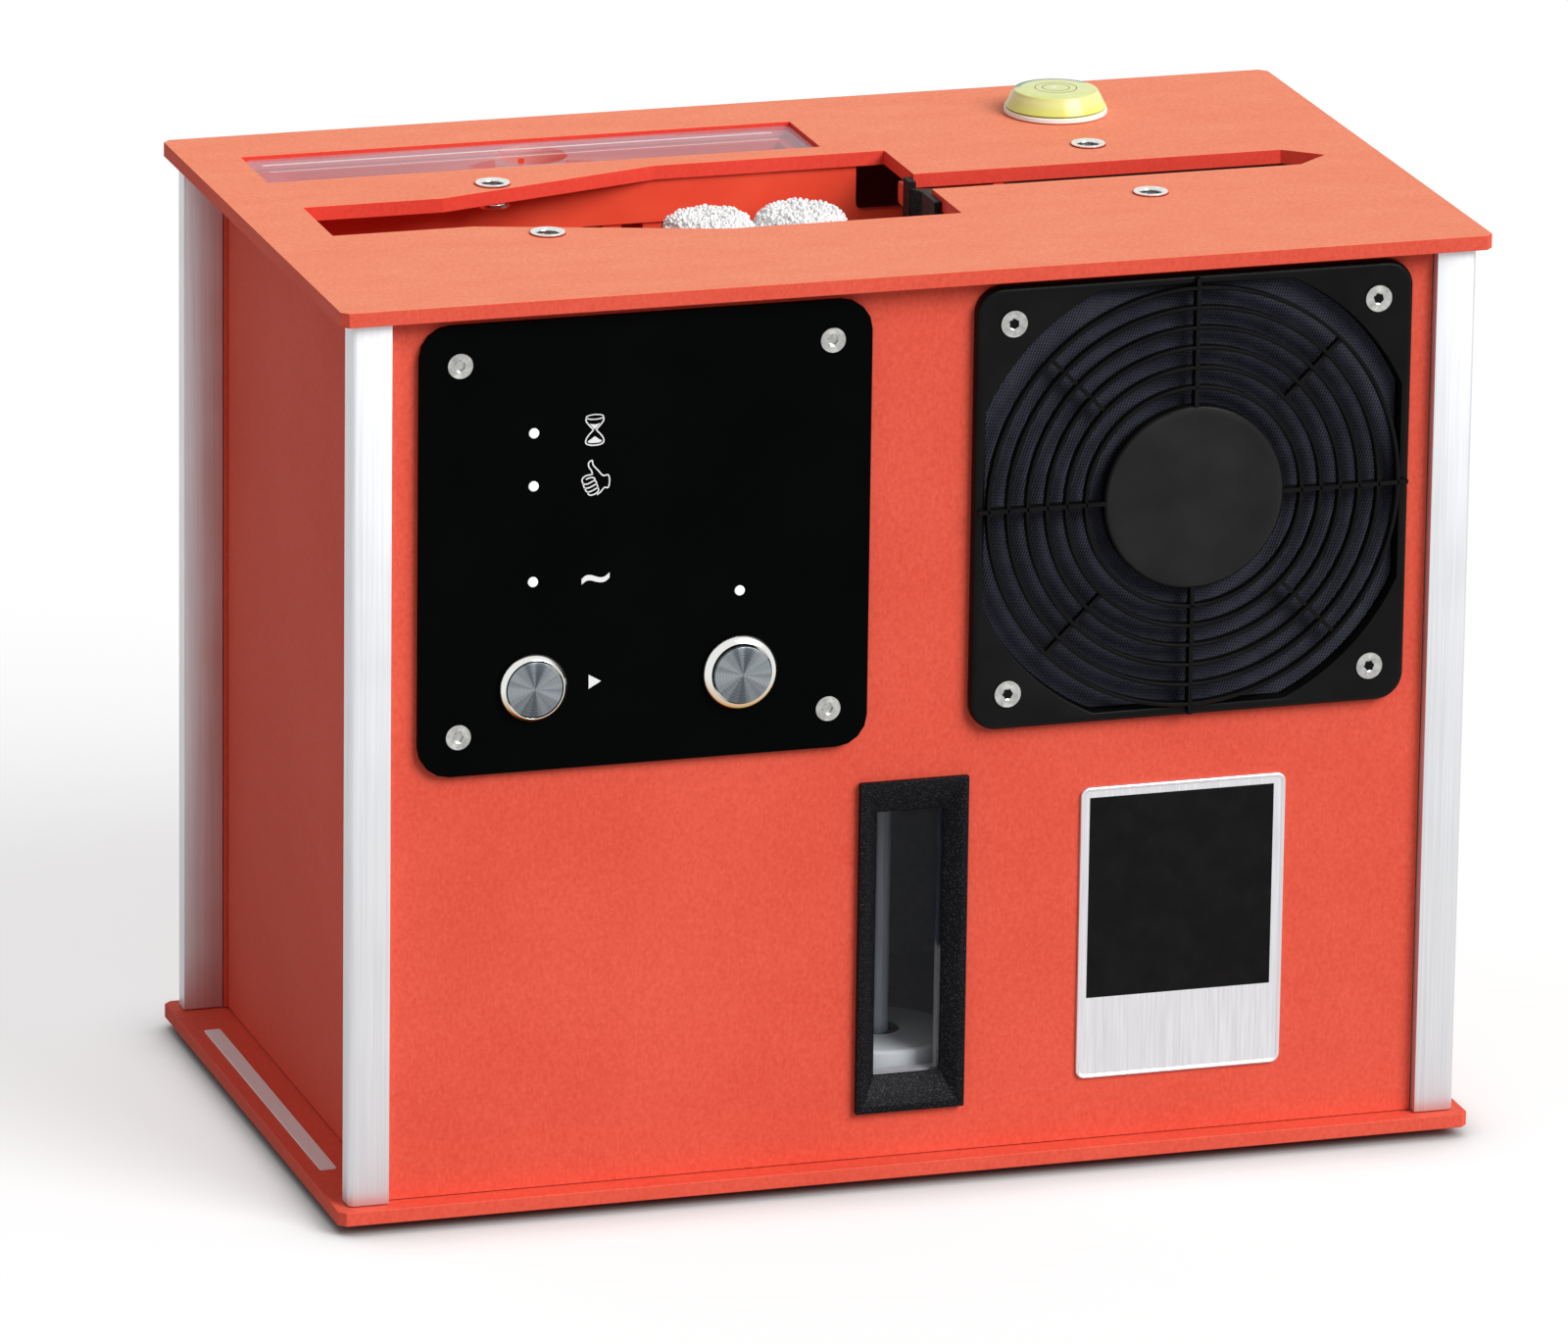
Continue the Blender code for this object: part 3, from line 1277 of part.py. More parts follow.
def make_wheels():
    """Drive wheel with its motor in the wash chamber, support wheel in the drying channel."""
    rubber = material("wheel_rubber", (0.05, 0.05, 0.05), 0.7)
    z = wheel_height()
    chamber_face = chamber_half + chamber_wall
    channel_face = exit_width / 2 + chamber_margin + channel_wall
    drive_front = chamber_face + seat_gap + wheel_motor_bore - run_gap
    for name, x, front_end, rear_end in (("drive_wheel", record_x - wheel_offset, drive_front, chamber_face),
                                         ("support_wheel", record_x + wheel_offset, channel_face, channel_face)):
        mesh = turned(name, wheel_profile(front_end, rear_end))
        add_object(name, mesh, rubber, (x, slot_shift, z), (90, 0, 0), smooth=True)

    steel = material("wheel_motor_steel", (0.30, 0.30, 0.32), 0.4, 0.8)
    bore = axle_radius + run_gap
    near = chamber_face + seat_gap
    shoulder = near + wheel_boss_length
    far = near + wheel_motor_length
    body = [(bore, near + wheel_motor_bore), (bore, near), (wheel_boss_radius, near),
            (wheel_boss_radius, shoulder), (wheel_motor_radius, shoulder),
            (wheel_motor_radius, far - wheel_motor_chamfer), (wheel_motor_radius - wheel_motor_chamfer, far)]
    add_object("wheel_motor", turned("wheel_motor", body), steel, (record_x - wheel_offset, slot_shift, z),
               (90, 0, 0), smooth=True)


def make_transducer():
    """Ultrasonic transducer on the chamber's front wall."""
    steel = material("transducer_steel", (0.50, 0.50, 0.52), 0.35, 0.9)
    near = chamber_half + chamber_wall + seat_gap
    body = [(horn_radius, near), (horn_radius, near + horn_thickness), (stack_radius, near + horn_thickness),
            (stack_radius, near + horn_thickness + stack_length)]
    mesh = turned("ultrasonic_transducer", body)
    add_object("ultrasonic_transducer", mesh, steel,
               (record_x - wheel_offset - transducer_shift, slot_shift, wheel_height() - transducer_drop),
               (90, 0, 0), smooth=True)


def make_filter():
    """Filter box under the top board, its foam block and the clear lid with a finger hole."""
    x, y = lid_centre()
    grey = material("filter_box_grey", (0.45, 0.46, 0.48), 0.5)
    left_limit = -side_inside
    right_limit = x + lid_length / 2 + filter_flange_width
    flange_x, flange_half = (left_limit + right_limit) / 2, (right_limit - left_limit) / 2
    flange = rectangle(flange_half, lid_width / 2 + filter_flange_width, flange_x, y)
    mouth_x = flange_half - filter_flange_width - lid_rim_inset + lid_gap
    mouth_y = lid_width / 2 - lid_rim_inset + lid_gap
    inner = rectangle(mouth_x, mouth_y, flange_x, y)
    outer = rectangle(mouth_x + filter_wall, mouth_y + filter_wall, flange_x, y)
    underside = wall_top - filter_flange_thickness
    base = wall_top - filter_depth
    mesh = stack_mesh("filter_box", [level(outer, base), level(outer, underside), level(flange, underside),
                                     level(flange, wall_top), level(inner, wall_top),
                                     level(inner, base + filter_wall)])
    add_object("filter_box", mesh, grey)

    pale_grey = material("filter_foam_grey", (0.55, 0.56, 0.58), 0.95)
    foam = rectangle(mouth_x - foam_gap, mouth_y - foam_gap, flange_x, y)
    low = base + filter_wall + seat_gap
    high = wall_top - lid_rim_depth - foam_drop
    block = stack_mesh("filter_foam", [level(foam, low), level(foam, high)])
    add_object("filter_foam", block, pale_grey)

    clear = material("lid_clear", (0.72, 0.55, 0.66), 0.05)
    half_x, half_y = lid_length / 2 - lid_gap, lid_width / 2 - lid_gap
    outline = rounded(half_x, half_y, lid_rounding)
    thickness = board_thickness - lid_recess
    lid = add_object("filter_lid", profile_mesh("filter_lid", outline, [circle(finger_radius, round_segments)],
                                                thickness), clear, (x, y, top_underside))
    rim_x, rim_y = mouth_x - lid_gap, mouth_y - lid_gap
    rim = profile_mesh("lid_rim", rectangle(rim_x, rim_y),
                       [rectangle(rim_x - lid_rim_wall, rim_y - lid_rim_wall)], lid_rim_depth + lid_rim_sink)
    combine(lid, cutter("lid_rim", rim, (flange_x, y, top_underside - lid_rim_depth)), "UNION")


def make_level():
    """Round bubble level: a white foot and the liquid-filled vial on it."""
    x, y = level_place()
    white = material("level_white", (0.85, 0.87, 0.82), 0.4)
    foot = [(level_stub_radius, -level_stub_length), (level_stub_radius, seat_gap), (level_radius, seat_gap),
            (level_radius, level_rim_height)]
    add_object("level_base", turned("level_base", foot), white, (x, y, top_face), smooth=True)
    lime = material("level_lime", (0.65, 0.75, 0.12), 0.1)
    seat = level_rim_height + seat_gap
    vial = [(vial_base_radius, seat), (vial_top_radius, seat + vial_height - vial_crown),
            (vial_top_radius * vial_crown_share, seat + vial_height)]
    add_object("level_vial", turned("level_vial", vial), lime, (x, y, top_face), smooth=True)


def make_bushings():
    """Four threaded bushings through the top board."""
    steel = material("bushing_steel", (0.70, 0.71, 0.72), 0.25, 1.0)
    bottom = -board_thickness - bushing_drop
    flange = seat_gap + bushing_flange_height
    ring = [(bushing_bore_radius, bottom), (bushing_radius, bottom), (bushing_radius, seat_gap),
            (bushing_flange_radius, seat_gap), (bushing_flange_radius, flange), (bushing_bore_radius, flange)]
    for name, x, y in bushing_places():
        mesh = turned(f"bushing_{name}", ring, bushing_segments, closed=True)
        add_object(f"bushing_{name}", mesh, steel, (x, y, top_face), smooth=True)


def inlet_place():
    """Middle of the power inlet in the rear panel."""
    return (inlet_left - panel_end, wall_base + inlet_rise)


def make_inlet():
    """Low-voltage power inlet in the rear panel."""
    black = material("inlet_black", (0.02, 0.02, 0.02), 0.4)
    x, z = inlet_place()
    flange = seat_gap + inlet_flange_thickness
    body = [(inlet_bore_radius, flange - inlet_bore_depth), (inlet_bore_radius, flange),
            (inlet_flange_radius, flange), (inlet_flange_radius, seat_gap), (inlet_body_radius, seat_gap),
            (inlet_body_radius, -inlet_body_length)]
    mesh = turned("power_inlet", body, small_segments)
    add_object("power_inlet", mesh, black, (x, -front_face, z), (-90, 0, 0), smooth=True)


def clear_scene():
    """Start from an empty scene."""
    for item in list(bpy.data.objects):
        bpy.data.objects.remove(item, do_unlink=True)


def main():
    clear_scene()
    make_boards()
    make_bars()
    make_feet()
    make_panels()
    make_control_panel()
    make_control_board()
    make_buttons()
    make_guard()
    make_fan_frame()
    make_rotor()
    make_duct()
    make_window()
    make_tank()
    make_pump()
    make_chamber()
    make_channel()
    make_rollers()
    make_gear_drive()
    make_wipers()
    make_wheels()
    make_transducer()
    make_filter()
    make_level()
    make_bushings()
    make_inlet()


main()
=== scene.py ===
"""Looks of the bench-top record cleaning machine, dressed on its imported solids."""

import math
import random

import bmesh
import bpy
from mathutils import Matrix, Vector


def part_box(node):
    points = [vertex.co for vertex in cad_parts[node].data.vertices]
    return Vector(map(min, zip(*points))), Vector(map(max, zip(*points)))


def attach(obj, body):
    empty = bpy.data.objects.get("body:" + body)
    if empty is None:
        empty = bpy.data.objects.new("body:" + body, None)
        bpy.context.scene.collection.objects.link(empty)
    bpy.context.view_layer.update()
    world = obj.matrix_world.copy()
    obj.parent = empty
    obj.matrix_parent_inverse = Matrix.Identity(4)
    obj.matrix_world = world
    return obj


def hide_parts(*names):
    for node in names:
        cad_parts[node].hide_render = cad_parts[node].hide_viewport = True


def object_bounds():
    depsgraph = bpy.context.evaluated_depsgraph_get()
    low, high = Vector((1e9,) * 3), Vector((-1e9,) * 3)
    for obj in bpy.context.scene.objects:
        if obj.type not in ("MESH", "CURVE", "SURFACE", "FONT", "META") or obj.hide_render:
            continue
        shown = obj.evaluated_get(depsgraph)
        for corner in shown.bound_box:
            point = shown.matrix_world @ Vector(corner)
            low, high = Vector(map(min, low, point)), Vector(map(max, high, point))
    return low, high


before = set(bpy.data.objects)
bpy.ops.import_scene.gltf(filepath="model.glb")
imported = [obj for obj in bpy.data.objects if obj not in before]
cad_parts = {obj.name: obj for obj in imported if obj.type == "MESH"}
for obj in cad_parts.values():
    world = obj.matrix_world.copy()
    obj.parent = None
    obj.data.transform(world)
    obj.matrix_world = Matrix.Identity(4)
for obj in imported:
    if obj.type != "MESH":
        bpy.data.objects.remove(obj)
solids_low, solids_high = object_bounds()


# Boards and panels
# Top and bottom board, front, rear and side panels: wood fibre board that is dyed right through,
# sanded matt and cut on a router. The boards are screwed to the corner bars, the panels slide
# in between them.

RED_DARK = (0.735, 0.078, 0.042)
RED_LIGHT = (0.85, 0.118, 0.07)
# Paler reds painted on the top board's upward faces: a painted sheen.
TOP_SHEEN_DARK = (0.915, 0.24, 0.125)
TOP_SHEEN_LIGHT = (0.985, 0.325, 0.19)
# Brighter, deeper reds painted on the faces inside the slots: painted light.
SLOT_LIT_DARK = (0.8, 0.05, 0.03)
SLOT_LIT_LIGHT = (0.88, 0.078, 0.046)
MILL_INSIDE = 0.0015
BOARD_EASE = 0.0003
EASE_STEPS = 2
EASE_ANGLE = math.radians(28)
MERGE = 1e-6


class Nodes:
    """A node tree in the making."""

    def __init__(self, tree):
        self.tree = tree

    def feed(self, socket, value):
        """Give a socket a value or the outcome of another node."""
        if isinstance(value, bpy.types.NodeSocket):
            self.tree.links.new(value, socket)
        else:
            socket.default_value = value

    def node(self, kind, feeds=(), **settings):
        """Add a node, set its options and feed its sockets."""
        made = self.tree.nodes.new(kind)
        for option, value in settings.items():
            setattr(made, option, value)
        for socket, value in dict(feeds).items():
            self.feed(made.inputs[socket], value)
        return made

    def first(self, kind, feeds=(), **settings):
        """The first outcome of a new node."""
        return self.node(kind, feeds, **settings).outputs[0]

    def count(self, operation, *values, clamp=False):
        """One step of arithmetic."""
        return self.first("ShaderNodeMath", enumerate(values), operation=operation, use_clamp=clamp)


class Finish(Nodes):
    """A material in the making: its shader, and textures on the piece's own coordinates."""

    def __init__(self, name, colour, roughness, metallic=0.0, specular=0.5):
        self.material = bpy.data.materials.new(name)
        self.material.use_nodes = True
        super().__init__(self.material.node_tree)
        self.shader = self.tree.nodes["Principled BSDF"]
        self.coordinates = self.node("ShaderNodeTexCoord").outputs
        self.place = self.coordinates["Object"]
        self.bump = None
        self.set("Base Color", (*colour, 1.0))
        self.set("Roughness", roughness)
        self.set("Metallic", metallic)
        self.set("Specular IOR Level", specular)

    def set(self, socket, value):
        """Set or feed one of the shader's own sockets."""
        self.feed(self.shader.inputs[socket], value)

    def stretched(self, stretch, turn=(0, 0, 0)):
        """The piece's coordinates, turned and stretched."""
        feeds = {"Vector": self.place, "Rotation": turn, "Scale": stretch}
        return self.first("ShaderNodeMapping", feeds)

    def noise(self, grain, detail=2.0, place=None):
        """Soft random cloud, with grains of about this size in metres."""
        feeds = {"Vector": place or self.place, "Scale": 1 / grain, "Detail": detail}
        return self.first("ShaderNodeTexNoise", feeds)

    def cells(self, size, feature):
        """Cells of about this size in metres, like crystals or pores."""
        feeds = {"Vector": self.place, "Scale": 1 / size}
        return self.first("ShaderNodeTexVoronoi", feeds, feature=feature)

    def axes(self, vector=None):
        """The three coordinates of a point, apart."""
        return self.node("ShaderNodeSeparateXYZ", {0: vector or self.place}).outputs

    def upward(self):
        """How far a face looks up."""
        return self.axes(self.coordinates["Normal"])[2]

    def length(self, across, up):
        """Distance from a middle, from its two parts."""
        squares = [self.count("MULTIPLY", part, part) for part in (across, up)]
        return self.count("SQRT", self.count("ADD", *squares))

    def spread(self, value, low=0.3, high=0.7, start=0.0, end=1.0):
        """Stretch a range of values over another one."""
        return self.first("ShaderNodeMapRange", enumerate((value, low, high, start, end)))

    def blend(self, share, first, second):
        """Mix two colours."""
        feeds = {0: share}
        for socket, colour in ((6, first), (7, second)):
            feeds[socket] = (*colour, 1.0) if isinstance(colour, tuple) else colour
        return self.node("ShaderNodeMix", feeds, data_type="RGBA").outputs[2]

    def tint(self, texture, dark, light, low=0.3, high=0.7):
        """Let a texture lead the colour from dark to light."""
        self.set("Base Color", self.blend(self.spread(texture, low, high), dark, light))

    def sheen(self, texture, least, most, low=0.3, high=0.7):
        """Let a texture vary the roughness."""
        self.set("Roughness", self.spread(texture, low, high, least, most))

    def relief(self, height, depth, strength=1.0):
        """Lay a bump over the ones before it, its depth in metres."""
        feeds = {"Height": height, "Distance": depth, "Strength": strength}
        if self.bump:
            feeds["Normal"] = self.bump
        self.bump = self.first("ShaderNodeBump", feeds)
        self.set("Normal", self.bump)


def fibre_board(name, dark, light):
    """Dyed fibre board: fine flecks of two shades, felted fibres and broad soft clouds."""
    board = Finish(name, dark, 0.66, specular=0.22)
    fleck = board.noise(0.0011, 4.0)
    fibre = board.noise(0.0009, 3.0, board.stretched((1, 0.35, 0.45), turn=(0.4, 0.7, 0.3)))
    cloud = board.noise(0.045, 2.0)
    mottle = board.count("MULTIPLY_ADD", fibre, 0.45, board.count("MULTIPLY", fleck, 0.4))
    mottle = board.count("MULTIPLY_ADD", cloud, 0.3, mottle)
    board.tint(mottle, dark, light, 0.42, 0.74)
    board.sheen(fibre, 0.6, 0.74)
    board.relief(fibre, 0.00012, 0.35)
    board.relief(fleck, 0.00008, 0.25)
    return board


def dress(finish, *nodes):
    """Give solids their finish."""
    for node in nodes:
        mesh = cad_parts[node].data
        mesh.materials.clear()
        mesh.materials.append(finish.material)


def kept(name, work):
    """The mesh that a piece of work has come to."""
    mesh = bpy.data.meshes.new(name)
    work.to_mesh(mesh)
    work.free()
    return mesh


def soften(mesh, angle):
    """Shade a mesh smooth, save where its faces meet at more than an angle."""
    mesh.shade_smooth()
    mesh.set_sharp_from_angle(angle=math.radians(angle))


def new_piece(name, mesh, finish=None, smooth=None):
    """Put a mesh into the scene under the name of its piece, smooth up to an angle."""
    piece = bpy.data.objects.new(name, mesh)
    bpy.context.scene.collection.objects.link(piece)
    if finish:
        mesh.materials.clear()
        mesh.materials.append(finish.material)
    if smooth:
        soften(mesh, smooth)
    return piece


def fitted(piece, node=None, body="cabinet"):
    """Give a piece its body, and let it stand for a solid, which it hides."""
    if node:
        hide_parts(node)
    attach(piece, body)
    return piece


def settled(piece):
    """A piece's shape with its modifiers worked in."""
    bpy.context.view_layer.update()
    view = piece.evaluated_get(bpy.context.evaluated_depsgraph_get())
    mesh = bpy.data.meshes.new_from_object(view)
    piece.modifiers.clear()
    piece.data = mesh
    return piece


def eased_copy(node, name, finish, ease, smooth=None):
    """A copy of a solid with its cut edges eased, which stands for the solid."""
    work = bmesh.new()
    work.from_mesh(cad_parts[node].data)
    bmesh.ops.remove_doubles(work, verts=work.verts, dist=MERGE)
    bmesh.ops.dissolve_limit(work, angle_limit=math.radians(1), verts=work.verts, edges=work.edges)
    piece = new_piece(name, kept(name, work), finish)
    bevel = piece.modifiers.new("ease", "BEVEL")
    bevel.width = ease
    bevel.segments = EASE_STEPS
    bevel.limit_method = "ANGLE"
    bevel.angle_limit = EASE_ANGLE
    settled(piece)
    if smooth:
        soften(piece.data, smooth)
    return fitted(piece, node)


def second_finish(piece, finish, chosen):
    """Give the chosen faces of a piece another finish."""
    piece.data.materials.append(finish.material)
    for face in piece.data.polygons:
        face.material_index = 1 if chosen(face) else 0


red_board = fibre_board("red_fibre_board", RED_DARK, RED_LIGHT)
# Painted highlight: the top board's upward faces are coloured paler, a painted sheen for the light the top
# catches; flecks and wisps vary it.
top_red = fibre_board("top_board_red", RED_DARK, RED_LIGHT)
mottled = top_red.shader.inputs["Base Color"].links[0].from_socket
fleck = top_red.noise(0.001, 4.0)
wisp = top_red.noise(0.009, 4.0, top_red.stretched((0.45, 1, 1), turn=(0, 0, 0.15)))
sheen_mottle = top_red.count("MULTIPLY_ADD", wisp, 0.3, top_red.count("MULTIPLY", fleck, 0.7))
painted_top_sheen = top_red.blend(top_red.spread(sheen_mottle, 0.36, 0.66), TOP_SHEEN_DARK, TOP_SHEEN_LIGHT)
top_red.tint(top_red.upward(), mottled, painted_top_sheen, 0.5, 0.8)

top_shown = eased_copy("top_plate", "top_plate_board", top_red, BOARD_EASE)
for board in ("bottom_plate", "front_panel", "rear_panel", "side_panel_left", "side_panel_right"):
    eased_copy(board, f"{board}_board", red_board, BOARD_EASE)


def in_a_slot(face):
    """Whether a face is cut inside the board, by the router."""
    x, y, _ = face.center
    inside = abs(x) < solids_high.x - MILL_INSIDE and abs(y) < solids_high.y - MILL_INSIDE
    return inside and abs(face.normal.z) < 0.5


# Painted light: the faces cut inside the slots are coloured a brighter, deeper red than the board, for the
# light they catch there.
second_finish(top_shown, fibre_board("milled_edge_red", SLOT_LIT_DARK, SLOT_LIT_LIGHT), in_a_slot)


# Corner bars
# Four bars of matt anodised aluminium, extruded with one rounded edge. A screw through each
# board holds them at both ends.

BAR_DARK = (0.64, 0.65, 0.675)
BAR_LIGHT = (0.73, 0.738, 0.755)
BAR_EASE = 0.0002
CORNERS = ("front_left", "front_right", "rear_left", "rear_right")

anodised = Finish("anodised_aluminium", BAR_LIGHT, 0.5, metallic=0.85)
draw_lines = anodised.noise(0.0005, 3.0, anodised.stretched((1, 1, 0.01)))
anodised.tint(draw_lines, BAR_DARK, BAR_LIGHT)
anodised.sheen(anodised.noise(0.02), 0.46, 0.56)
anodised.relief(draw_lines, 0.00003, 0.25)
for corner in CORNERS:
    eased_copy(f"corner_bar_{corner}", f"bar_{corner}", anodised, BAR_EASE, smooth=32)


# Feet
# Low round feet of black rubber under the bottom board, pressed in, slightly dusty.

foot_rubber = Finish("foot_rubber", (0.018, 0.018, 0.018), 0.82, specular=0.3)
dust = foot_rubber.noise(0.0015, 4.0)
foot_rubber.tint(dust, (0.012, 0.012, 0.012), (0.045, 0.043, 0.04), 0.45, 0.75)
foot_rubber.relief(dust, 0.0001, 0.5)
dress(foot_rubber, *(f"rubber_foot_{corner}" for corner in CORNERS))


# Control panel
# Thin plate with a matt black printed face. Four lens caps sit in it, for the lamps of the
# board behind; its signs are printed in white. Where the words were it is bare.

PLATE_EASE = 0.00022
LENS_RADIUS = 0.00138
LENS_CROWN = 0.00022
LENS_SINK = 0.0006
LENS_STEPS = 5
LENS_SEGMENTS = 32
LENS_PLACES = ((-0.031, 0.0312), (-0.031, 0.0167), (-0.031, -0.0096), (0.0262, -0.0162))
INK_HEIGHT = 0.00005
INK_WIDTH = 0.36
MM = 0.001

plate_low, plate_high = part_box("control_panel")
plate_face = plate_low.y
plate_middle = (plate_low + plate_high) / 2

printed_black = Finish("printed_black", (0.001, 0.0013, 0.0012), 0.44, specular=0.015)
film = printed_black.noise(0.0004, 3.0)
printed_black.tint(printed_black.noise(0.03), (0.0008, 0.0011, 0.001), (0.0014, 0.0017, 0.0016))
printed_black.sheen(film, 0.4, 0.5)
printed_black.relief(film, 0.00001, 0.3)
eased_copy("control_panel", "control_plate", printed_black, PLATE_EASE)


def plain_mesh(name, work):
    """A mesh with its faces pointing outwards."""
    bmesh.ops.recalc_face_normals(work, faces=work.faces)
    return kept(name, work)


def joined(name, meshes):
    """Several meshes as one."""
    work = bmesh.new()
    for mesh in meshes:
        work.from_mesh(mesh)
    return kept(name, work)


def turned_skin(name, profile, segments, middle=(0, 0, 0), front=False, closed=False):
    """Skin of a turned piece from pairs of radius (or its rule) and height, upright or to the front."""
    work = bmesh.new()
    rows = []
    for radius, height in profile:
        row = []
        for step in range(segments if callable(radius) or radius >= MERGE else 1):
            angle = 2 * math.pi * step / segments
            far = radius(angle) if callable(radius) else radius
            across, up = far * math.cos(angle), far * math.sin(angle)
            spot = (across, -height, up) if front else (across, up, height)
            row.append(work.verts.new([start + shift for start, shift in zip(middle, spot)]))
        rows.append(row)
    for low, high in zip(rows, rows[1:] + rows[:1] if closed else rows[1:]):
        for step in range(segments):
            after = (step + 1) % segments
            corners = (low, step), (low, after), (high, after), (high, step)
            ring = list(dict.fromkeys(row[place % len(row)] for row, place in corners))
            if len(ring) > 2:
                work.faces.new(ring)
    for row in (rows[0], rows[-1]):
        if len(row) > 2 and not closed:
            work.faces.new(row)
    return plain_mesh(name, work)


def turned(name, profile, segments, finish, smooth=None, **way):
    """A turned piece with its finish."""
    return new_piece(name, turned_skin(name, profile, segments, **way), finish, smooth)


def arc(middle_x, middle_y, reach_x, reach_y, steps, start=0.0, turn=math.pi / 2):
    """Points along a quarter of an oval, or another part of it."""
    angles = [start + turn * step / steps for step in range(steps + 1)]
    return [(middle_x + reach_x * math.cos(angle), middle_y + reach_y * math.sin(angle))
            for angle in angles]


def bands(work, rows):
    """Faces between rings of points of equal number."""
    for low, high in zip(rows, rows[1:]):
        for index in range(len(low)):
            work.faces.new((low[index - 1], low[index], high[index], high[index - 1]))


def stitched(work, rows, closed=False):
    """Faces between rings of points, with a cap on each open end."""
    bands(work, rows + rows[:1] if closed else rows)
    if not closed:
        work.faces.new(rows[0])
        work.faces.new(rows[-1])


def stacked(name, loops, closed=False, place=lambda x, y, height: (x, y, height)):
    """Skin over outlines laid one on another, each with its height."""
    work = bmesh.new()
    rows = [[work.verts.new(place(*point, height)) for point in outline] for outline, height in loops]
    stitched(work, rows, closed)
    return plain_mesh(name, work)


lens_profile = [(LENS_RADIUS, -LENS_SINK), *arc(0.0, 0.0, LENS_RADIUS, LENS_CROWN, LENS_STEPS)]
lens_seats = [(plate_middle.x + x, plate_face, plate_middle.z + z) for x, z in LENS_PLACES]
lenses = [turned_skin("lens", lens_profile, LENS_SEGMENTS, seat, front=True) for seat in lens_seats]
lens_white = Finish("lens_white", (0.92, 0.94, 0.95), 0.25)
# Painted light: the lens caps are given a faint white glow of their own, on top of their white colour.
lens_white.set("Emission Color", (1.0, 1.0, 1.0, 1.0))
lens_white.set("Emission Strength", 0.25)
lens_white.relief(lens_white.noise(0.0004), 0.00002, 0.2)
fitted(new_piece("lamp_lenses", joined("lamp_lenses", lenses), lens_white, smooth=40))


def flowing(points, closed=False, steps=6):
    """A smooth line through a few points."""
    count = len(points)
    line = []
    for index in range(count if closed else count - 1):
        near = [points[(index + shift) % count if closed else min(max(index + shift, 0), count - 1)]
                for shift in (-1, 0, 1, 2)]
        for step in range(steps):
            t = step / steps
            line.append(tuple(0.5 * (2 * b + (c - a) * t + (2 * a - 5 * b + 4 * c - d) * t * t
                                     + (3 * b - a - 3 * c + d) * t ** 3)
                              for a, b, c, d in zip(*near)))
    return line if closed else line + [points[-1]]


def ink_spot(work, middle, x, z, height):
    """A point of a sign, drawn in millimetres on the plate's face."""
    return work.verts.new((middle[0] + x * MM, plate_face - height, middle[1] + z * MM))


def ink_line(work, middle, points, width=INK_WIDTH, closed=False):
    """A printed line of even width through points in millimetres."""
    rows = []
    for index, (x, z) in enumerate(points):
        before = points[index - 1] if closed or index else points[index]
        after = points[(index + 1) % len(points)] if closed or index < len(points) - 1 else points[index]
        run = Vector((after[0] - before[0], after[1] - before[1])).normalized() * width / 2
        rows.append([ink_spot(work, middle, x - way * run.y, z + way * run.x, height)
                     for way, height in ((-1, INK_HEIGHT), (1, INK_HEIGHT), (1, 0.0), (-1, 0.0))])
    stitched(work, rows, closed)


def ink_patch(work, middle, points):
    """A printed patch with a closed outline."""
    rows = [[ink_spot(work, middle, x, z, height) for x, z in points] for height in (0.0, INK_HEIGHT)]
    stitched(work, rows)


WAIT_SIGN = (-0.0897, 0.2177)
DONE_SIGN = (-0.0893, 0.2046)
MAINS_SIGN = (-0.08915, 0.1768)
START_SIGN = (-0.0892, 0.1484)
signs = bmesh.new()
glass_side = [(-2.38, 3.5), (-2.4, 2.55), (-1.75, 1.55), (-0.55, 0.25), (-0.55, -0.15), (-1.75, -1.45),
              (-2.4, -2.55), (-2.38, -3.55)]
glass_foot = [(-1.4, -4.05), (0.0, -4.18), (1.4, -4.05)]
glass_outline = glass_side + glass_foot + [(-x, z) for x, z in reversed(glass_side)]
glass_mouth = arc(0.0, 3.55, 2.38, 0.66, 28, turn=2 * math.pi)[:-1]
sand_above = [(-1.45, 1.8), (-0.7, 1.6), (0.0, 1.52), (0.7, 1.6), (1.45, 1.8), (0.14, 0.3), (-0.14, 0.3)]
sand_below = [(-1.95, -3.1), (-1.0, -2.45), (0.0, -1.8), (1.0, -2.45), (1.95, -3.1), (1.1, -3.52),
              (-1.1, -3.52)]
ink_line(signs, WAIT_SIGN, flowing(glass_outline))
ink_line(signs, WAIT_SIGN, glass_mouth, INK_WIDTH * 0.8, closed=True)
ink_patch(signs, WAIT_SIGN, sand_above)
ink_patch(signs, WAIT_SIGN, flowing(sand_below, closed=True))
hand_lines = (
    [(-0.95, 0.85), (-1.2, 1.9), (-2.0, 3.2), (-1.95, 4.25), (-1.05, 4.75), (-0.75, 3.5), (0.6, 1.95),
     (2.0, 0.45), (3.4, 0.5), (3.78, -1.2), (3.4, -2.9), (2.35, -2.9), (1.25, -4.1), (0.3, -4.65)],
    [(-0.95, 0.9), (-2.7, 0.7), (-3.75, -0.2), (-3.45, -1.45), (-2.3, -1.6), (-1.1, -1.05),
     (-0.3, -0.65), (-0.6, 0.0), (-1.7, 0.05), (-2.75, -0.35)],
    [(-3.45, -1.5), (-3.15, -2.55), (-2.1, -2.7), (-0.7, -2.15), (0.2, -1.6), (-0.2, -0.75)],
    [(-3.0, -2.6), (-2.6, -3.6), (-1.6, -3.75), (-0.1, -3.1), (0.5, -2.6), (0.2, -1.65)],
    [(-2.3, -3.7), (-1.9, -4.55), (-0.9, -4.7), (0.3, -4.15), (0.8, -3.45), (0.45, -2.65)],
)
for line in hand_lines:
    ink_line(signs, DONE_SIGN, flowing(line))
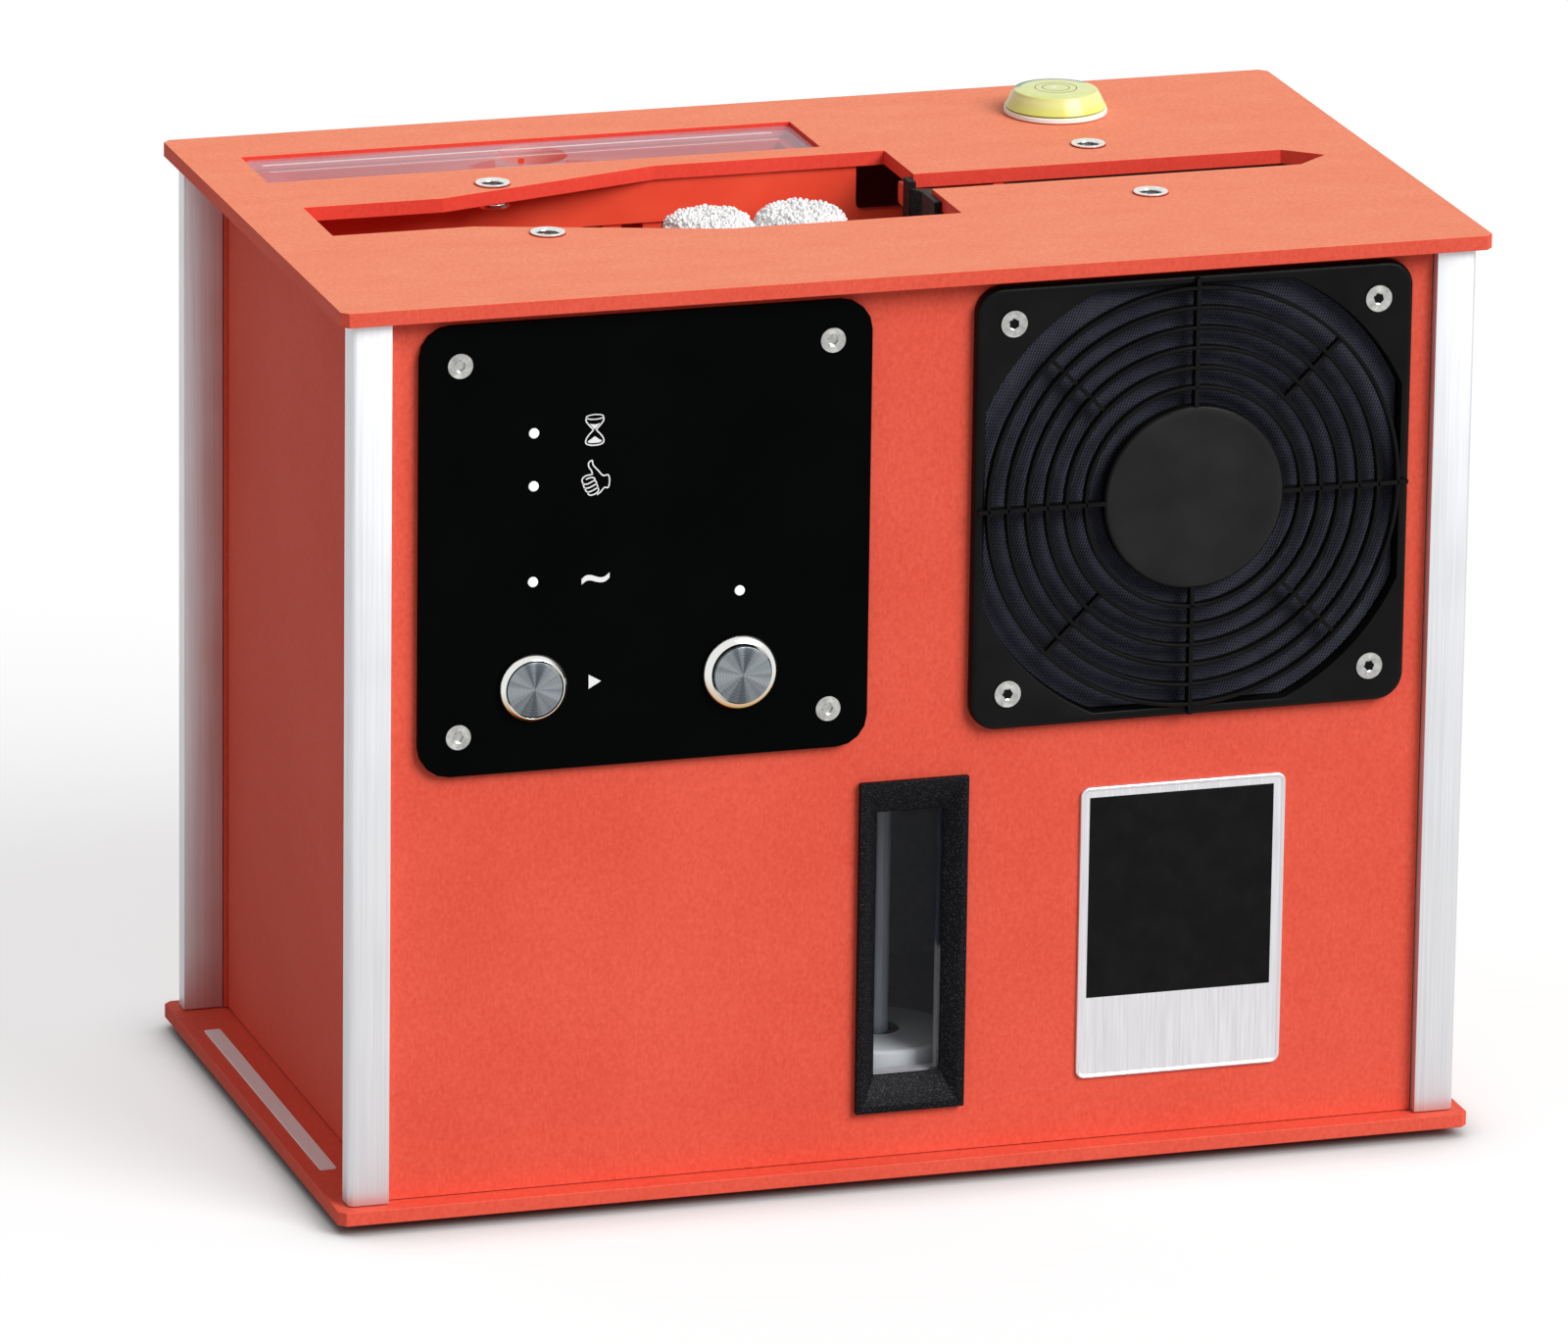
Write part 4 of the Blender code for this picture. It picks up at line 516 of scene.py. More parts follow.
wave_top = [(-3.85, 0.15), (-2.7, 1.02), (-1.3, 1.08), (0.4, 0.5), (1.6, 0.25), (2.7, 0.55), (3.85, 1.45)]
wave_foot = [(3.85, 0.0), (2.7, -0.92), (1.5, -1.12), (0.2, -0.88), (-1.4, -0.38), (-2.6, -0.5),
             (-3.85, -1.4)]
ink_patch(signs, MAINS_SIGN, flowing(wave_top) + flowing(wave_foot))
ink_patch(signs, START_SIGN, [(-1.6, 1.95), (1.8, 0.0), (-1.6, -1.95)])

print_white = Finish("print_white", (0.9, 0.9, 0.9), 0.5, specular=0.3)
print_white.tint(print_white.noise(0.0005, 3.0), (0.84, 0.84, 0.84), (0.93, 0.93, 0.93))
fitted(new_piece("panel_signs", plain_mesh("panel_signs", signs), print_white))


# Control board
# Green circuit board on spacers behind the control panel, with its soldered lamps.

TRACK_SIZE = 1 / 320

circuit = Finish("circuit_board", (0.02, 0.13, 0.045), 0.35)
copper = circuit.spread(circuit.cells(TRACK_SIZE, "DISTANCE_TO_EDGE"), 0.02, 0.05)
circuit.set("Base Color", circuit.blend(copper, (0.06, 0.26, 0.08), (0.018, 0.12, 0.04)))
circuit.relief(copper, 0.00004, 0.5)
dress(circuit, "control_board")


# Push buttons
# Each is a turned ring of polished nickel brass, screwed through the plate, and a cap of
# stainless steel with fine turning marks, which a spring holds out.

BUTTON_SEGMENTS = 96
RING_PROUD = 0.0025
RING_WALL = 0.0006
RING_FLOOR = -0.0005
RING_CORE = 0.0033
CAP_CORE = 0.003
CAP_SKIRT = 0.0014
CAP_EASE = 0.00035


def turning_marks(finish, middle, pitch, depth, strength):
    """Fine rings cut by the lathe round a middle on the front of the machine."""
    place = finish.axes()
    across = finish.count("SUBTRACT", place[0], middle[0])
    up = finish.count("SUBTRACT", place[2], middle[2])
    radius = finish.length(across, up)
    turn = finish.count("ARCTAN2", up, across)
    rings = finish.count("SINE", finish.count("MULTIPLY", radius, 2 * math.pi / pitch))
    finish.relief(rings, depth, strength)
    return radius, turn


def fan_shine(finish, radius, turn, dark, light):
    """Painted highlights: broad rays of light and dark, painted into the colour, such as a turned face
    shows round its middle.
    """
    feeds = {0: finish.count("COSINE", turn), 1: finish.count("SINE", turn)}
    way = finish.first("ShaderNodeCombineXYZ", feeds)
    feeds = {"Vector": way, "Scale": 2.4, "Detail": 5.0}
    ray = finish.first("ShaderNodeTexNoise", feeds, noise_dimensions="2D")
    feeds = {"W": radius, "Scale": 2600, "Detail": 2.0}
    ring = finish.first("ShaderNodeTexNoise", feeds, noise_dimensions="1D")
    double = finish.count("COSINE", finish.count("MULTIPLY_ADD", turn, 2.0, 0.35))
    share = finish.count("MULTIPLY_ADD", double, 0.2, ray)
    share = finish.count("MULTIPLY_ADD", ring, 0.35, share)
    finish.tint(share, dark, light, 0.35, 1.0)


def push_button(name, radius, bore, cap_radius, proud):
    """The polished ring and the cap of one push button."""
    low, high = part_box(f"{name}_bezel")
    seat = {"middle": ((low.x + high.x) / 2, plate_face, (low.z + high.z) / 2), "front": True}
    shank, end = bore + RING_WALL, plate_face - high.y
    ring = [(shank, end), (shank, 0.0003), (radius - 0.0001, 0.0003), (radius, 0.0004), (radius, 0.0011),
            (radius - 0.0001, 0.0013), (radius - 0.0005, 0.0018), (radius - 0.0009, 0.00215),
            (bore + 0.0003, 0.00242), (bore + 0.0001, RING_PROUD), (bore, 0.00242), (bore, RING_FLOOR),
            (RING_CORE, RING_FLOOR), (RING_CORE, end)]
    polished = Finish(f"{name}_nickel", (0.8, 0.79, 0.76), 0.12, metallic=1.0)
    # Painted reflection: faces turning downwards are tinted gold, as if they mirrored a warm surface below;
    # upward faces stay silvery.
    polished.tint(polished.upward(), (0.56, 0.37, 0.13), (0.8, 0.81, 0.79), -0.5, 0.0)
    polished.sheen(polished.noise(0.002, 3.0), 0.08, 0.18)
    turning_marks(polished, seat["middle"], 0.00025, 0.000004, 0.3)
    bezel = turned(f"{name}_ring", ring, BUTTON_SEGMENTS, polished, 32, closed=True, **seat)
    fitted(bezel, f"{name}_bezel")

    top, end = RING_PROUD + proud, plate_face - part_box(f"{name}_cap")[1].y
    cap = [(CAP_CORE, end), (CAP_CORE, CAP_SKIRT), (cap_radius, CAP_SKIRT), (cap_radius, top - CAP_EASE),
           (cap_radius - 0.0001, top - 0.00012), (cap_radius - CAP_EASE, top),
           (cap_radius * 0.55, top + 0.00003), (0.0, top + 0.00005)]
    steel = Finish(f"{name.split('_')[0]}_cap_steel", (0.5, 0.53, 0.56), 0.3, metallic=1.0)
    marks = turning_marks(steel, seat["middle"], 0.0003, 0.00001, 0.6)
    fan_shine(steel, *marks, (0.085, 0.1, 0.11), (0.33, 0.365, 0.385))
    face = turned(f"{name}_face", cap, BUTTON_SEGMENTS, steel, 32, **seat)
    fitted(face, f"{name}_cap", name)


push_button("start_button", radius=0.00935, bore=0.00795, cap_radius=0.00765, proud=0.0)
push_button("mode_button", radius=0.0103, bore=0.0083, cap_radius=0.0079, proud=0.0013)


# Fan guard
# Moulded in black grained plastic in one piece: a square frame with a round opening that four
# flats cut, and in it rings, four long and four short ribs and a slightly domed hub.

GUARD_THICKNESS = 0.0032
GUARD_ROUNDING = 0.0075
GUARD_EDGE = 0.0015
OPENING_RADIUS = 0.0645
OPENING_HALF = 0.0586
COLLAR_DEPTH = 0.0022
COLLAR_WALL = 0.0014
GRILLE_FRONT = 0.0048
GRILLE_DEPTH = 0.003
GUARD_GAP = 0.0003
HUB_RADIUS = 0.0254
HUB_BACK = 0.0016
HUB_LAND = 0.0007
HUB_CROWN = 0.0004
HUB_SEGMENTS = 128
QUARTER_STEPS = 24

guard_low, guard_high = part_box("fan_guard")
guard_half = (guard_high.x - guard_low.x) / 2
guard_x, _, guard_z = (guard_low + guard_high) / 2
front_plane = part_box("front_panel")[0].y - GUARD_GAP


class Making(Nodes):
    """A Geometry Nodes tree in the making, with its sizes as named inputs."""

    def __init__(self, name, **sizes):
        super().__init__(bpy.data.node_groups.new(name, "GeometryNodeTree"))
        face = self.tree.interface
        face.new_socket("Geometry", in_out="INPUT", socket_type="NodeSocketGeometry")
        face.new_socket("Geometry", in_out="OUTPUT", socket_type="NodeSocketGeometry")
        self.sizes = sizes
        for size, value in sizes.items():
            kind = "NodeSocketInt" if isinstance(value, int) else "NodeSocketFloat"
            face.new_socket(size, in_out="INPUT", socket_type=kind)
        self.given = self.tree.nodes.new("NodeGroupInput").outputs
        self.end = self.tree.nodes.new("NodeGroupOutput")

    def spot(self, x, y, z):
        """A vector from three numbers."""
        return self.first("ShaderNodeCombineXYZ", {0: x, 1: y, 2: z})

    def scaled(self, vector, share):
        """A vector made longer or shorter."""
        feeds = {0: vector, "Scale": share}
        return self.first("ShaderNodeVectorMath", feeds, operation="SCALE")

    def copies(self, points, model, **feeds):
        """Copies of a model on points."""
        feeds = {"Points": points, "Instance": model, **feeds}
        return self.first("GeometryNodeInstanceOnPoints", feeds)

    def random(self, least, most, kind="FLOAT"):
        """A random value for each point."""
        dice = self.node("FunctionNodeRandomValue", {"Seed": self.given["Seed"]}, data_type=kind)
        first = 0 if kind == "FLOAT_VECTOR" else 2
        self.feed(dice.inputs[first], least)
        self.feed(dice.inputs[first + 1], most)
        return dice.outputs[first // 2]

    def join(self, *parts):
        """Several geometries as one."""
        join = self.node("GeometryNodeJoinGeometry")
        for part in parts:
            self.tree.links.new(part, join.inputs[0])
        return join.outputs[0]

    def worked_out(self, piece, geometry, finish):
        """End the tree, run it on a piece and keep the plain mesh."""
        whole = self.first("GeometryNodeRealizeInstances", {0: geometry})
        cover = self.first("GeometryNodeSetMaterial", {"Geometry": whole, "Material": finish.material})
        self.tree.links.new(cover, self.end.inputs[0])
        modifier = piece.modifiers.new(self.tree.name, "NODES")
        modifier.node_group = self.tree
        for item in self.tree.interface.items_tree:
            if item.in_out == "INPUT" and item.name in self.sizes:
                modifier[item.identifier] = self.sizes[item.name]
        return settled(piece)


def grille(finish):
    """Rings and ribs of the guard, drawn flat with the front upwards."""
    make = Making("fan_grille", Rings=6, Pitch=0.0055, Hub=0.0249, RingWidth=0.001, Depth=GRILLE_DEPTH,
                  Ribs=4, RibWidth=0.0011, LongEnd=0.0607, ShortStart=0.0359, ShortEnd=0.0579,
                  ShortSink=0.0009)
    given = make.given
    row = make.first("GeometryNodeMeshLine", {"Count": given["Rings"], "Offset": (0, 0, 0)})
    order = make.first("GeometryNodeInputIndex")
    radius = make.count("MULTIPLY_ADD", make.count("ADD", order, 1.0), given["Pitch"], given["Hub"])
    line = make.first("GeometryNodeCurvePrimitiveCircle", {"Resolution": 180, "Radius": 1.0})
    rings = make.copies(row, line, Scale=make.spot(radius, radius, 1.0))
    lines = make.first("GeometryNodeRealizeInstances", {0: rings})
    size = {"Width": given["RingWidth"], "Height": given["Depth"]}
    section = make.first("GeometryNodeCurvePrimitiveQuadrilateral", size)
    eased = make.first("GeometryNodeFilletCurve", {"Curve": section, "Radius": 0.00028})
    parts = [make.first("GeometryNodeCurveToMesh", {0: lines, 1: eased})]
    long_ribs = given["Hub"], given["LongEnd"], 0.0, 0.0
    short_ribs = given["ShortStart"], given["ShortEnd"], math.pi / 4, given["ShortSink"]
    for start, end, turn, sink in (long_ribs, short_ribs):
        length = make.count("SUBTRACT", end, start)
        middle = make.count("MULTIPLY", make.count("ADD", start, end), 0.5)
        depth = make.count("SUBTRACT", given["Depth"], sink)
        size = make.spot(length, given["RibWidth"], depth)
        bar = make.first("GeometryNodeMeshCube", {"Size": size})
        seats = make.first("GeometryNodeMeshCircle", {"Vertices": given["Ribs"], "Radius": middle})
        angle = make.count("MULTIPLY", order, math.pi / 2)
        ribs = make.copies(seats, bar, Rotation=make.spot(0.0, 0.0, angle))
        low = make.spot(0.0, 0.0, make.count("MULTIPLY", sink, -0.5))
        feeds = {"Geometry": ribs, "Rotation": (0, 0, turn), "Translation": low}
        parts.append(make.first("GeometryNodeTransform", feeds))
    base = new_piece("grille_lines", bpy.data.meshes.new("grille_lines"))
    return make.worked_out(base, make.join(*parts), finish)


def facing_front(mesh, x, y, z):
    """Stand a flat drawn mesh up, so that its top faces the front, at a place."""
    mesh.transform(Matrix.Translation((x, y, z)) @ Matrix.Rotation(math.pi / 2, 4, "X"))


def guard_opening(margin):
    """The guard's opening: a circle that four flats cut."""
    radius = OPENING_RADIUS + margin
    flat = math.acos((OPENING_HALF + margin) / radius)
    points = []
    for quarter in range(4):
        start = quarter * math.pi / 2 + flat
        points += arc(0.0, 0.0, radius, radius, QUARTER_STEPS, start, math.pi / 2 - 2 * flat)
    return points


def rounded_box(half_x, half_y, rounding, x=0.0, y=0.0, steps=15):
    """Points of a rectangle with rounded corners."""
    points = []
    for quarter, (side_x, side_y) in enumerate(((1, 1), (-1, 1), (-1, -1), (1, -1))):
        corner = x + side_x * (half_x - rounding), y + side_y * (half_y - rounding)
        points += arc(*corner, rounding, rounding, steps, quarter * math.pi / 2)
    return points


def guard_frame():
    """Square frame with a rounded outer edge and the collar round its opening."""
    edge = [(0.0, 0.0), *((GUARD_EDGE - x, GUARD_THICKNESS - GUARD_EDGE + y)
                          for x, y in arc(0.0, 0.0, GUARD_EDGE, GUARD_EDGE, 6))]
    loops = []
    for inset, height in edge:
        half = guard_half - inset
        loops.append((rounded_box(half, half, GUARD_ROUNDING - inset, steps=QUARTER_STEPS), height))
    inner = [(0.0006, GUARD_THICKNESS), (0.0002, GUARD_THICKNESS - 0.0002), (0.0, GUARD_THICKNESS - 0.0006),
             (0.0, -COLLAR_DEPTH), (COLLAR_WALL, -COLLAR_DEPTH), (COLLAR_WALL, 0.0)]
    loops += [(guard_opening(margin), height) for margin, height in inner]
    return stacked("guard_frame", loops, closed=True)


guard_black = Finish("guard_black", (0.003, 0.003, 0.003), 0.34, specular=0.09)
grain = guard_black.noise(0.00045, 3.0)
guard_black.tint(guard_black.noise(0.012), (0.002, 0.002, 0.002), (0.005, 0.005, 0.005))
guard_black.sheen(grain, 0.3, 0.42)
guard_black.relief(grain, 0.00006, 0.5)

grille_piece = grille(guard_black)
grille_piece.data.transform(Matrix.Translation((0, 0, GRILLE_FRONT - GRILLE_DEPTH / 2)))
hub = [(0.0, HUB_BACK), (HUB_RADIUS, HUB_BACK), (HUB_RADIUS, GRILLE_FRONT - HUB_LAND),
       (HUB_RADIUS - 0.0002, GRILLE_FRONT - 0.0003), (HUB_RADIUS - HUB_LAND, GRILLE_FRONT)]
hub += [(HUB_RADIUS * share, GRILLE_FRONT + HUB_CROWN * (1 - share * share))
        for share in (0.9, 0.75, 0.5, 0.25, 0.0)]
hub_mesh = turned_skin("guard_hub", hub, HUB_SEGMENTS)
guard_mesh = joined("fan_guard_moulding", [guard_frame(), grille_piece.data, hub_mesh])
bpy.data.objects.remove(grille_piece)
facing_front(guard_mesh, guard_x, front_plane, guard_z)
guard_piece = new_piece("fan_guard_moulding", guard_mesh, guard_black, smooth=35)
hub_black = Finish("hub_black", (0.013, 0.013, 0.013), 0.4, specular=0.1)
hub_black.tint(hub_black.noise(0.018), (0.01, 0.01, 0.01), (0.019, 0.019, 0.019))
hub_black.relief(hub_black.noise(0.00045, 3.0), 0.00006, 0.5)


def on_the_hub(face):
    """Whether a face lies on the front of the hub."""
    off_middle = math.hypot(face.center.x - guard_x, face.center.z - guard_z)
    return off_middle < HUB_RADIUS - HUB_LAND + 0.0001 and face.normal.y < -0.9


second_finish(guard_piece, hub_black, on_the_hub)
fitted(guard_piece, "fan_guard")


# Filter cloth
# Navy polyester cloth with a fine rib, stretched flat over the fan behind the guard, whose
# collar clamps its edge.

CLOTH_THICKNESS = 0.0007
CLOTH_STEPS = 44
CLOTH_SAG = 0.00035
CLOTH_PLAY = 0.0003
RIB_PITCH = 0.0008
RIB_SLANT = -0.35
PICK_PITCH = 0.0009
PICK_SLANT = 0.12

cloth_edge = guard_opening(-CLOTH_PLAY)


def cloth_sheet():
    """A flat cloth, cut to the opening, that sags a little between its clamped edges."""
    work = bmesh.new()
    sides = ([], [])
    for share in ((step + 1) / CLOTH_STEPS for step in range(CLOTH_STEPS)):
        for rows, lift in zip(sides, (CLOTH_THICKNESS, 0.0)):
            height = lift + CLOTH_SAG * (1 - share * share)
            rows.append([work.verts.new((x * share, y * share, height)) for x, y in cloth_edge])
    for rows in sides:
        bands(work, rows)
        work.faces.new(rows[0])
    bands(work, [rows[-1] for rows in sides])
    return plain_mesh("filter_cloth_sheet", work)


navy = Finish("navy_cloth", (0.022, 0.024, 0.045), 0.85, specular=0.25)
along = navy.axes()


def threads(first, second, slant, pitch):
    """Waves across the cloth, slightly slanted, for the threads of one way."""
    run = navy.count("ADD", along[first], navy.count("MULTIPLY", along[second], slant))
    return navy.count("SINE", navy.count("MULTIPLY", run, 2 * math.pi / pitch))


pick = threads(2, 0, PICK_SLANT, PICK_PITCH)
weave = navy.count("MULTIPLY_ADD", pick, 0.35, threads(0, 2, RIB_SLANT, RIB_PITCH))
lint = navy.spread(navy.noise(0.006, 3.0), 0.3, 0.7, -0.1, 0.15)
share = navy.count("ADD", navy.spread(weave, -1.2, 1.2, 0.0, 0.85), lint, clamp=True)
navy.set("Base Color", navy.blend(share, (0.003, 0.003, 0.007), (0.058, 0.062, 0.088)))
navy.relief(weave, 0.00012, 0.6)
cloth_mesh = cloth_sheet()
facing_front(cloth_mesh, guard_x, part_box("fan_filter")[1].y - 0.0001, guard_z)
cloth = fitted(new_piece("filter_cloth_sheet", cloth_mesh, navy, smooth=40), "fan_filter")


# Screws
# Countersunk machine screws of bright zinc-plated steel with a hexagon socket, four in the
# control plate and four in the fan guard. Their shanks run into the holes of the panels.

SCREW_SEGMENTS = 48
SOCKET_FLAT = 0.00128
SOCKET_RIM = 0.00168
SOCKET_DEPTH = 0.0015
HEAD_DEPTH = 0.0019
HEAD_PROUD = 0.00022
SHANK_RADIUS = 0.0018
PANEL_SCREW = (0.00345, 0.006)
PANEL_PITCH = (0.1025, 0.1019)
GUARD_SCREW = (0.0037, 0.007)
GUARD_PITCH = (0.1027, 0.1027)
GUARD_SCREW_SINK = 0.0016


def hexagon(angle):
    """Radius of the screw's socket at an angle."""
    return SOCKET_FLAT / math.cos((angle + math.pi / 6) % (math.pi / 3) - math.pi / 6)


def socket_screw(head_radius, length):
    """A countersunk screw with turned rings on its head, its face at height zero."""
    rings = [(0, -length), (SHANK_RADIUS, -length), (SHANK_RADIUS, -HEAD_DEPTH), (head_radius, -0.0002),
             (head_radius, -0.00008), (head_radius - 0.00008, 0.0)]
    for share in (0.9, 0.8, 0.7, 0.6):
        rings += [(head_radius * (share + 0.03), 0.0), (head_radius * share, -0.000035),
                  (head_radius * (share - 0.03), 0.0)]
    rings += [(SOCKET_RIM, 0.0), (hexagon, -0.00022), (hexagon, -SOCKET_DEPTH), (0, -SOCKET_DEPTH - 0.0003)]
    return turned_skin("socket_screw", rings, SCREW_SEGMENTS)


def screw_set(name, size, pitch, middle, finish):
    """Four screws at the corners of a rectangle on the front, each turned another way."""
    make = Making(name, PitchX=pitch[0], PitchZ=pitch[1], Seed=5)
    given = make.given
    feeds = {"Size X": given["PitchX"], "Size Y": given["PitchZ"], "Vertices X": 2, "Vertices Y": 2}
    seats = make.first("GeometryNodeMeshGrid", feeds)
    turn = make.spot(0.0, 0.0, make.random(0.0, math.pi))
    screws = make.copies(seats, given["Geometry"], Rotation=turn)
    piece = make.worked_out(new_piece(name, socket_screw(*size)), screws, finish)
    facing_front(piece.data, middle[0], middle[1] - HEAD_PROUD, middle[2])
    soften(piece.data, 25)
    fitted(piece)


zinc = Finish("bright_zinc", (0.46, 0.46, 0.45), 0.28, metallic=1.0)
tarnish = zinc.noise(0.0016, 3.0)
zinc.tint(tarnish, (0.36, 0.36, 0.35), (0.56, 0.56, 0.54))
zinc.sheen(tarnish, 0.18, 0.34)
zinc.relief(zinc.noise(0.0002), 0.000008, 0.4)
panel_seat = (plate_middle.x, plate_face, plate_middle.z)
guard_seat = (guard_x, guard_low.y + GUARD_SCREW_SINK, guard_z)
screw_set("panel_screws", PANEL_SCREW, PANEL_PITCH, panel_seat, zinc)
screw_set("guard_screws", GUARD_SCREW, GUARD_PITCH, guard_seat, zinc)


# Window
# Bevelled frame moulded in black grained plastic, set in the front panel, and a clear acrylic
# pane that a lip holds in it from behind.

WINDOW_EASE = 0.00025

window_black = Finish("window_black", (0.003, 0.003, 0.004), 0.5, specular=0.07)
grain_and_glints = window_black.noise(0.00045)
lumps = window_black.noise(0.0011, 3.0)
# Painted glints: the raised grains are coloured lighter, for the sparkle of light on them, over the black
# plastic.
window_black.tint(grain_and_glints, (0.003, 0.003, 0.004), (0.052, 0.052, 0.058), 0.52, 0.74)
window_black.sheen(lumps, 0.38, 0.56)
window_black.relief(grain_and_glints, 0.0001, 0.7)
window_black.relief(lumps, 0.00012, 0.35)
eased_copy("window_bezel", "window_frame", window_black, WINDOW_EASE, smooth=28)

pane_clear = Finish("pane_clear", (0.62, 0.7, 0.78), 0.05)
pane_clear.set("Alpha", 0.1)
smear = pane_clear.noise(0.012, 3.0)
pane_clear.tint(smear, (0.018, 0.022, 0.028), (0.03, 0.036, 0.044))
pane_clear.sheen(smear, 0.04, 0.1)
dress(pane_clear, "window_pane")


# Water tank
# Open tank moulded in dark translucent plastic. What has settled from the washing water stains
# its lower part a lighter grey.

STAIN_LEVEL = 0.064

tank_plastic = Finish("tank_plastic", (0.06, 0.072, 0.095), 0.38)
ripple = tank_plastic.noise(0.01, 3.0)
height = tank_plastic.count("MULTIPLY_ADD", ripple, 0.004, tank_plastic.axes()[2])
silt = tank_plastic.noise(0.0022, 4.0)
upper = tank_plastic.blend(tank_plastic.spread(ripple), (0.04, 0.055, 0.085), (0.06, 0.076, 0.108))
lower = tank_plastic.blend(tank_plastic.spread(silt), (0.56, 0.55, 0.6), (0.68, 0.66, 0.7))
tank_plastic.tint(height, upper, lower, STAIN_LEVEL + 0.003, STAIN_LEVEL + 0.0012)
tank_plastic.relief(silt, 0.0002, 0.3)
dress(tank_plastic, "water_tank")


# Float
# White foamed disc that rides up its bright rod with the water, with a pressed steel grommet
# in its bore.

FLOAT_SEGMENTS = 96
FLOAT_EASE = 0.0012
FLOAT_BORE = 0.0035
GROMMET_WALL = 0.0004
GROMMET_HIGH = 0.0006

float_low, float_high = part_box("float_disc")
float_x, float_y, _ = (float_low + float_high) / 2
float_seat = {"middle": (float_x, float_y, float_low.z), "closed": True}
float_shoulder = (float_high.x - float_low.x) / 2 - FLOAT_EASE
float_top = float_high.z - float_low.z - GROMMET_HIGH
wall = FLOAT_BORE + GROMMET_WALL
float_rings = [(wall, 0.0), *arc(float_shoulder, FLOAT_EASE, FLOAT_EASE, FLOAT_EASE, 6, start=-math.pi / 2),
               *arc(float_shoulder, float_top - FLOAT_EASE, FLOAT_EASE, FLOAT_EASE, 6), (wall, float_top)]
float_white = Finish("float_foam", (0.7, 0.76, 0.82), 0.62, specular=0.3)
foam_cells = float_white.noise(0.0008, 3.0)
float_white.tint(foam_cells, (0.86, 0.91, 0.96), (0.92, 0.96, 0.99))
float_white.relief(foam_cells, 0.00015, 0.5)
float_piece = turned("float_foam_disc", float_rings, FLOAT_SEGMENTS, float_white, 40, **float_seat)
fitted(float_piece, "float_disc", "float")

grommet_rings = [(FLOAT_BORE, 0.0), (wall, 0.0), (wall, float_top), (0.0056, float_top),
                 (0.0058, float_top + 0.0002), (0.0055, float_top + 0.0005),
                 (0.0048, float_top + GROMMET_HIGH),
                 (FLOAT_BORE + 0.0003, float_top + GROMMET_HIGH), (FLOAT_BORE, float_top + 0.0003)]
bright = Finish("bright_steel", (0.66, 0.67, 0.69), 0.18, metallic=1.0)
polish = bright.noise(0.0004, 3.0, bright.stretched((1, 1, 0.02)))
bright.tint(polish, (0.56, 0.57, 0.59), (0.76, 0.77, 0.79))
bright.sheen(polish, 0.14, 0.26)
grommet = turned("float_grommet", grommet_rings, FLOAT_SEGMENTS, bright, 40, **float_seat)
fitted(grommet, body="float")

rod_satin = Finish("rod_satin", (0.56, 0.61, 0.69), 0.45)
rod_satin.tint(rod_satin.noise(0.0004, 3.0, rod_satin.stretched((1, 1, 0.03))), (0.5, 0.55, 0.63),
               (0.62, 0.67, 0.74))
dress(rod_satin, "float_rod")


# Circulation pump
# Small canned pump of black glass-filled nylon that hangs in the cabinet beside the tank. The
# power inlet in the rear panel is moulded in the same nylon.

nylon = Finish("pump_nylon", (0.02, 0.02, 0.021), 0.55)
glass_fibre = nylon.noise(0.0006, 4.0)
nylon.tint(glass_fibre, (0.014, 0.014, 0.015), (0.045, 0.045, 0.047), 0.35, 0.75)
nylon.sheen(glass_fibre, 0.48, 0.66)
nylon.relief(glass_fibre, 0.00008, 0.4)
dress(nylon, "circulation_pump", "power_inlet")


# Wash chamber and drying channel
# The chamber is welded up from red sheet, with slits that let the water run off. The channel
# beside it, where the air dries the record, is coloured a near black red inside: painted shade.

chamber_red = Finish("chamber_red", (0.88, 0.085, 0.04), 0.42, specular=0.25)
sheet_grain = chamber_red.noise(0.0008, 3.0)
chamber_red.tint(chamber_red.noise(0.02), (0.84, 0.07, 0.032), (0.93, 0.1, 0.048))
chamber_red.sheen(sheet_grain, 0.34, 0.48)
chamber_red.relief(sheet_grain, 0.00004, 0.4)
dress(chamber_red, "wash_chamber")

# Painted shade: the channel is coloured a near black red, the chamber's red in shade.
channel_dark = Finish("channel_dark", (0.06, 0.014, 0.012), 0.6)
channel_cloud = channel_dark.noise(0.006, 3.0)
channel_dark.tint(channel_cloud, (0.045, 0.01, 0.009), (0.085, 0.019, 0.015))
channel_dark.relief(channel_cloud, 0.0001, 0.3)
dress(channel_dark, "drying_channel")


# Fan and its duct
# A fan of 120 mm in a moulded frame sits behind the cloth. Its duct of black plastic takes the
# air to the channel.

fan_black = Finish("fan_black", (0.016, 0.016, 0.017), 0.4)
matt_grain = fan_black.noise(0.0004)
fan_black.tint(fan_black.noise(0.004, 3.0), (0.012, 0.012, 0.013), (0.024, 0.024, 0.026))
fan_black.sheen(matt_grain, 0.34, 0.5)
fan_black.relief(matt_grain, 0.00005, 0.4)
dress(fan_black, "fan_frame", "fan_rotor", "air_duct")


# Gear drive of the rollers
# Four moulded spindles with their gears stand on a zinc plate and mesh with the sun gear of a
# flat motor that hangs under it. The motor of the drive wheel is cased in the same zinc.

CRYSTAL_SIZE = 1 / 420

spindle_grey = Finish("spindle_grey", (0.3, 0.31, 0.33), 0.42)
spindle_grey.tint(spindle_grey.noise(0.003, 3.0), (0.25, 0.26, 0.28), (0.35, 0.36, 0.38))
spindle_grey.relief(spindle_grey.noise(0.0005), 0.00003, 0.4)
dress(spindle_grey, *(f"roller_spindle_{corner}" for corner in CORNERS))

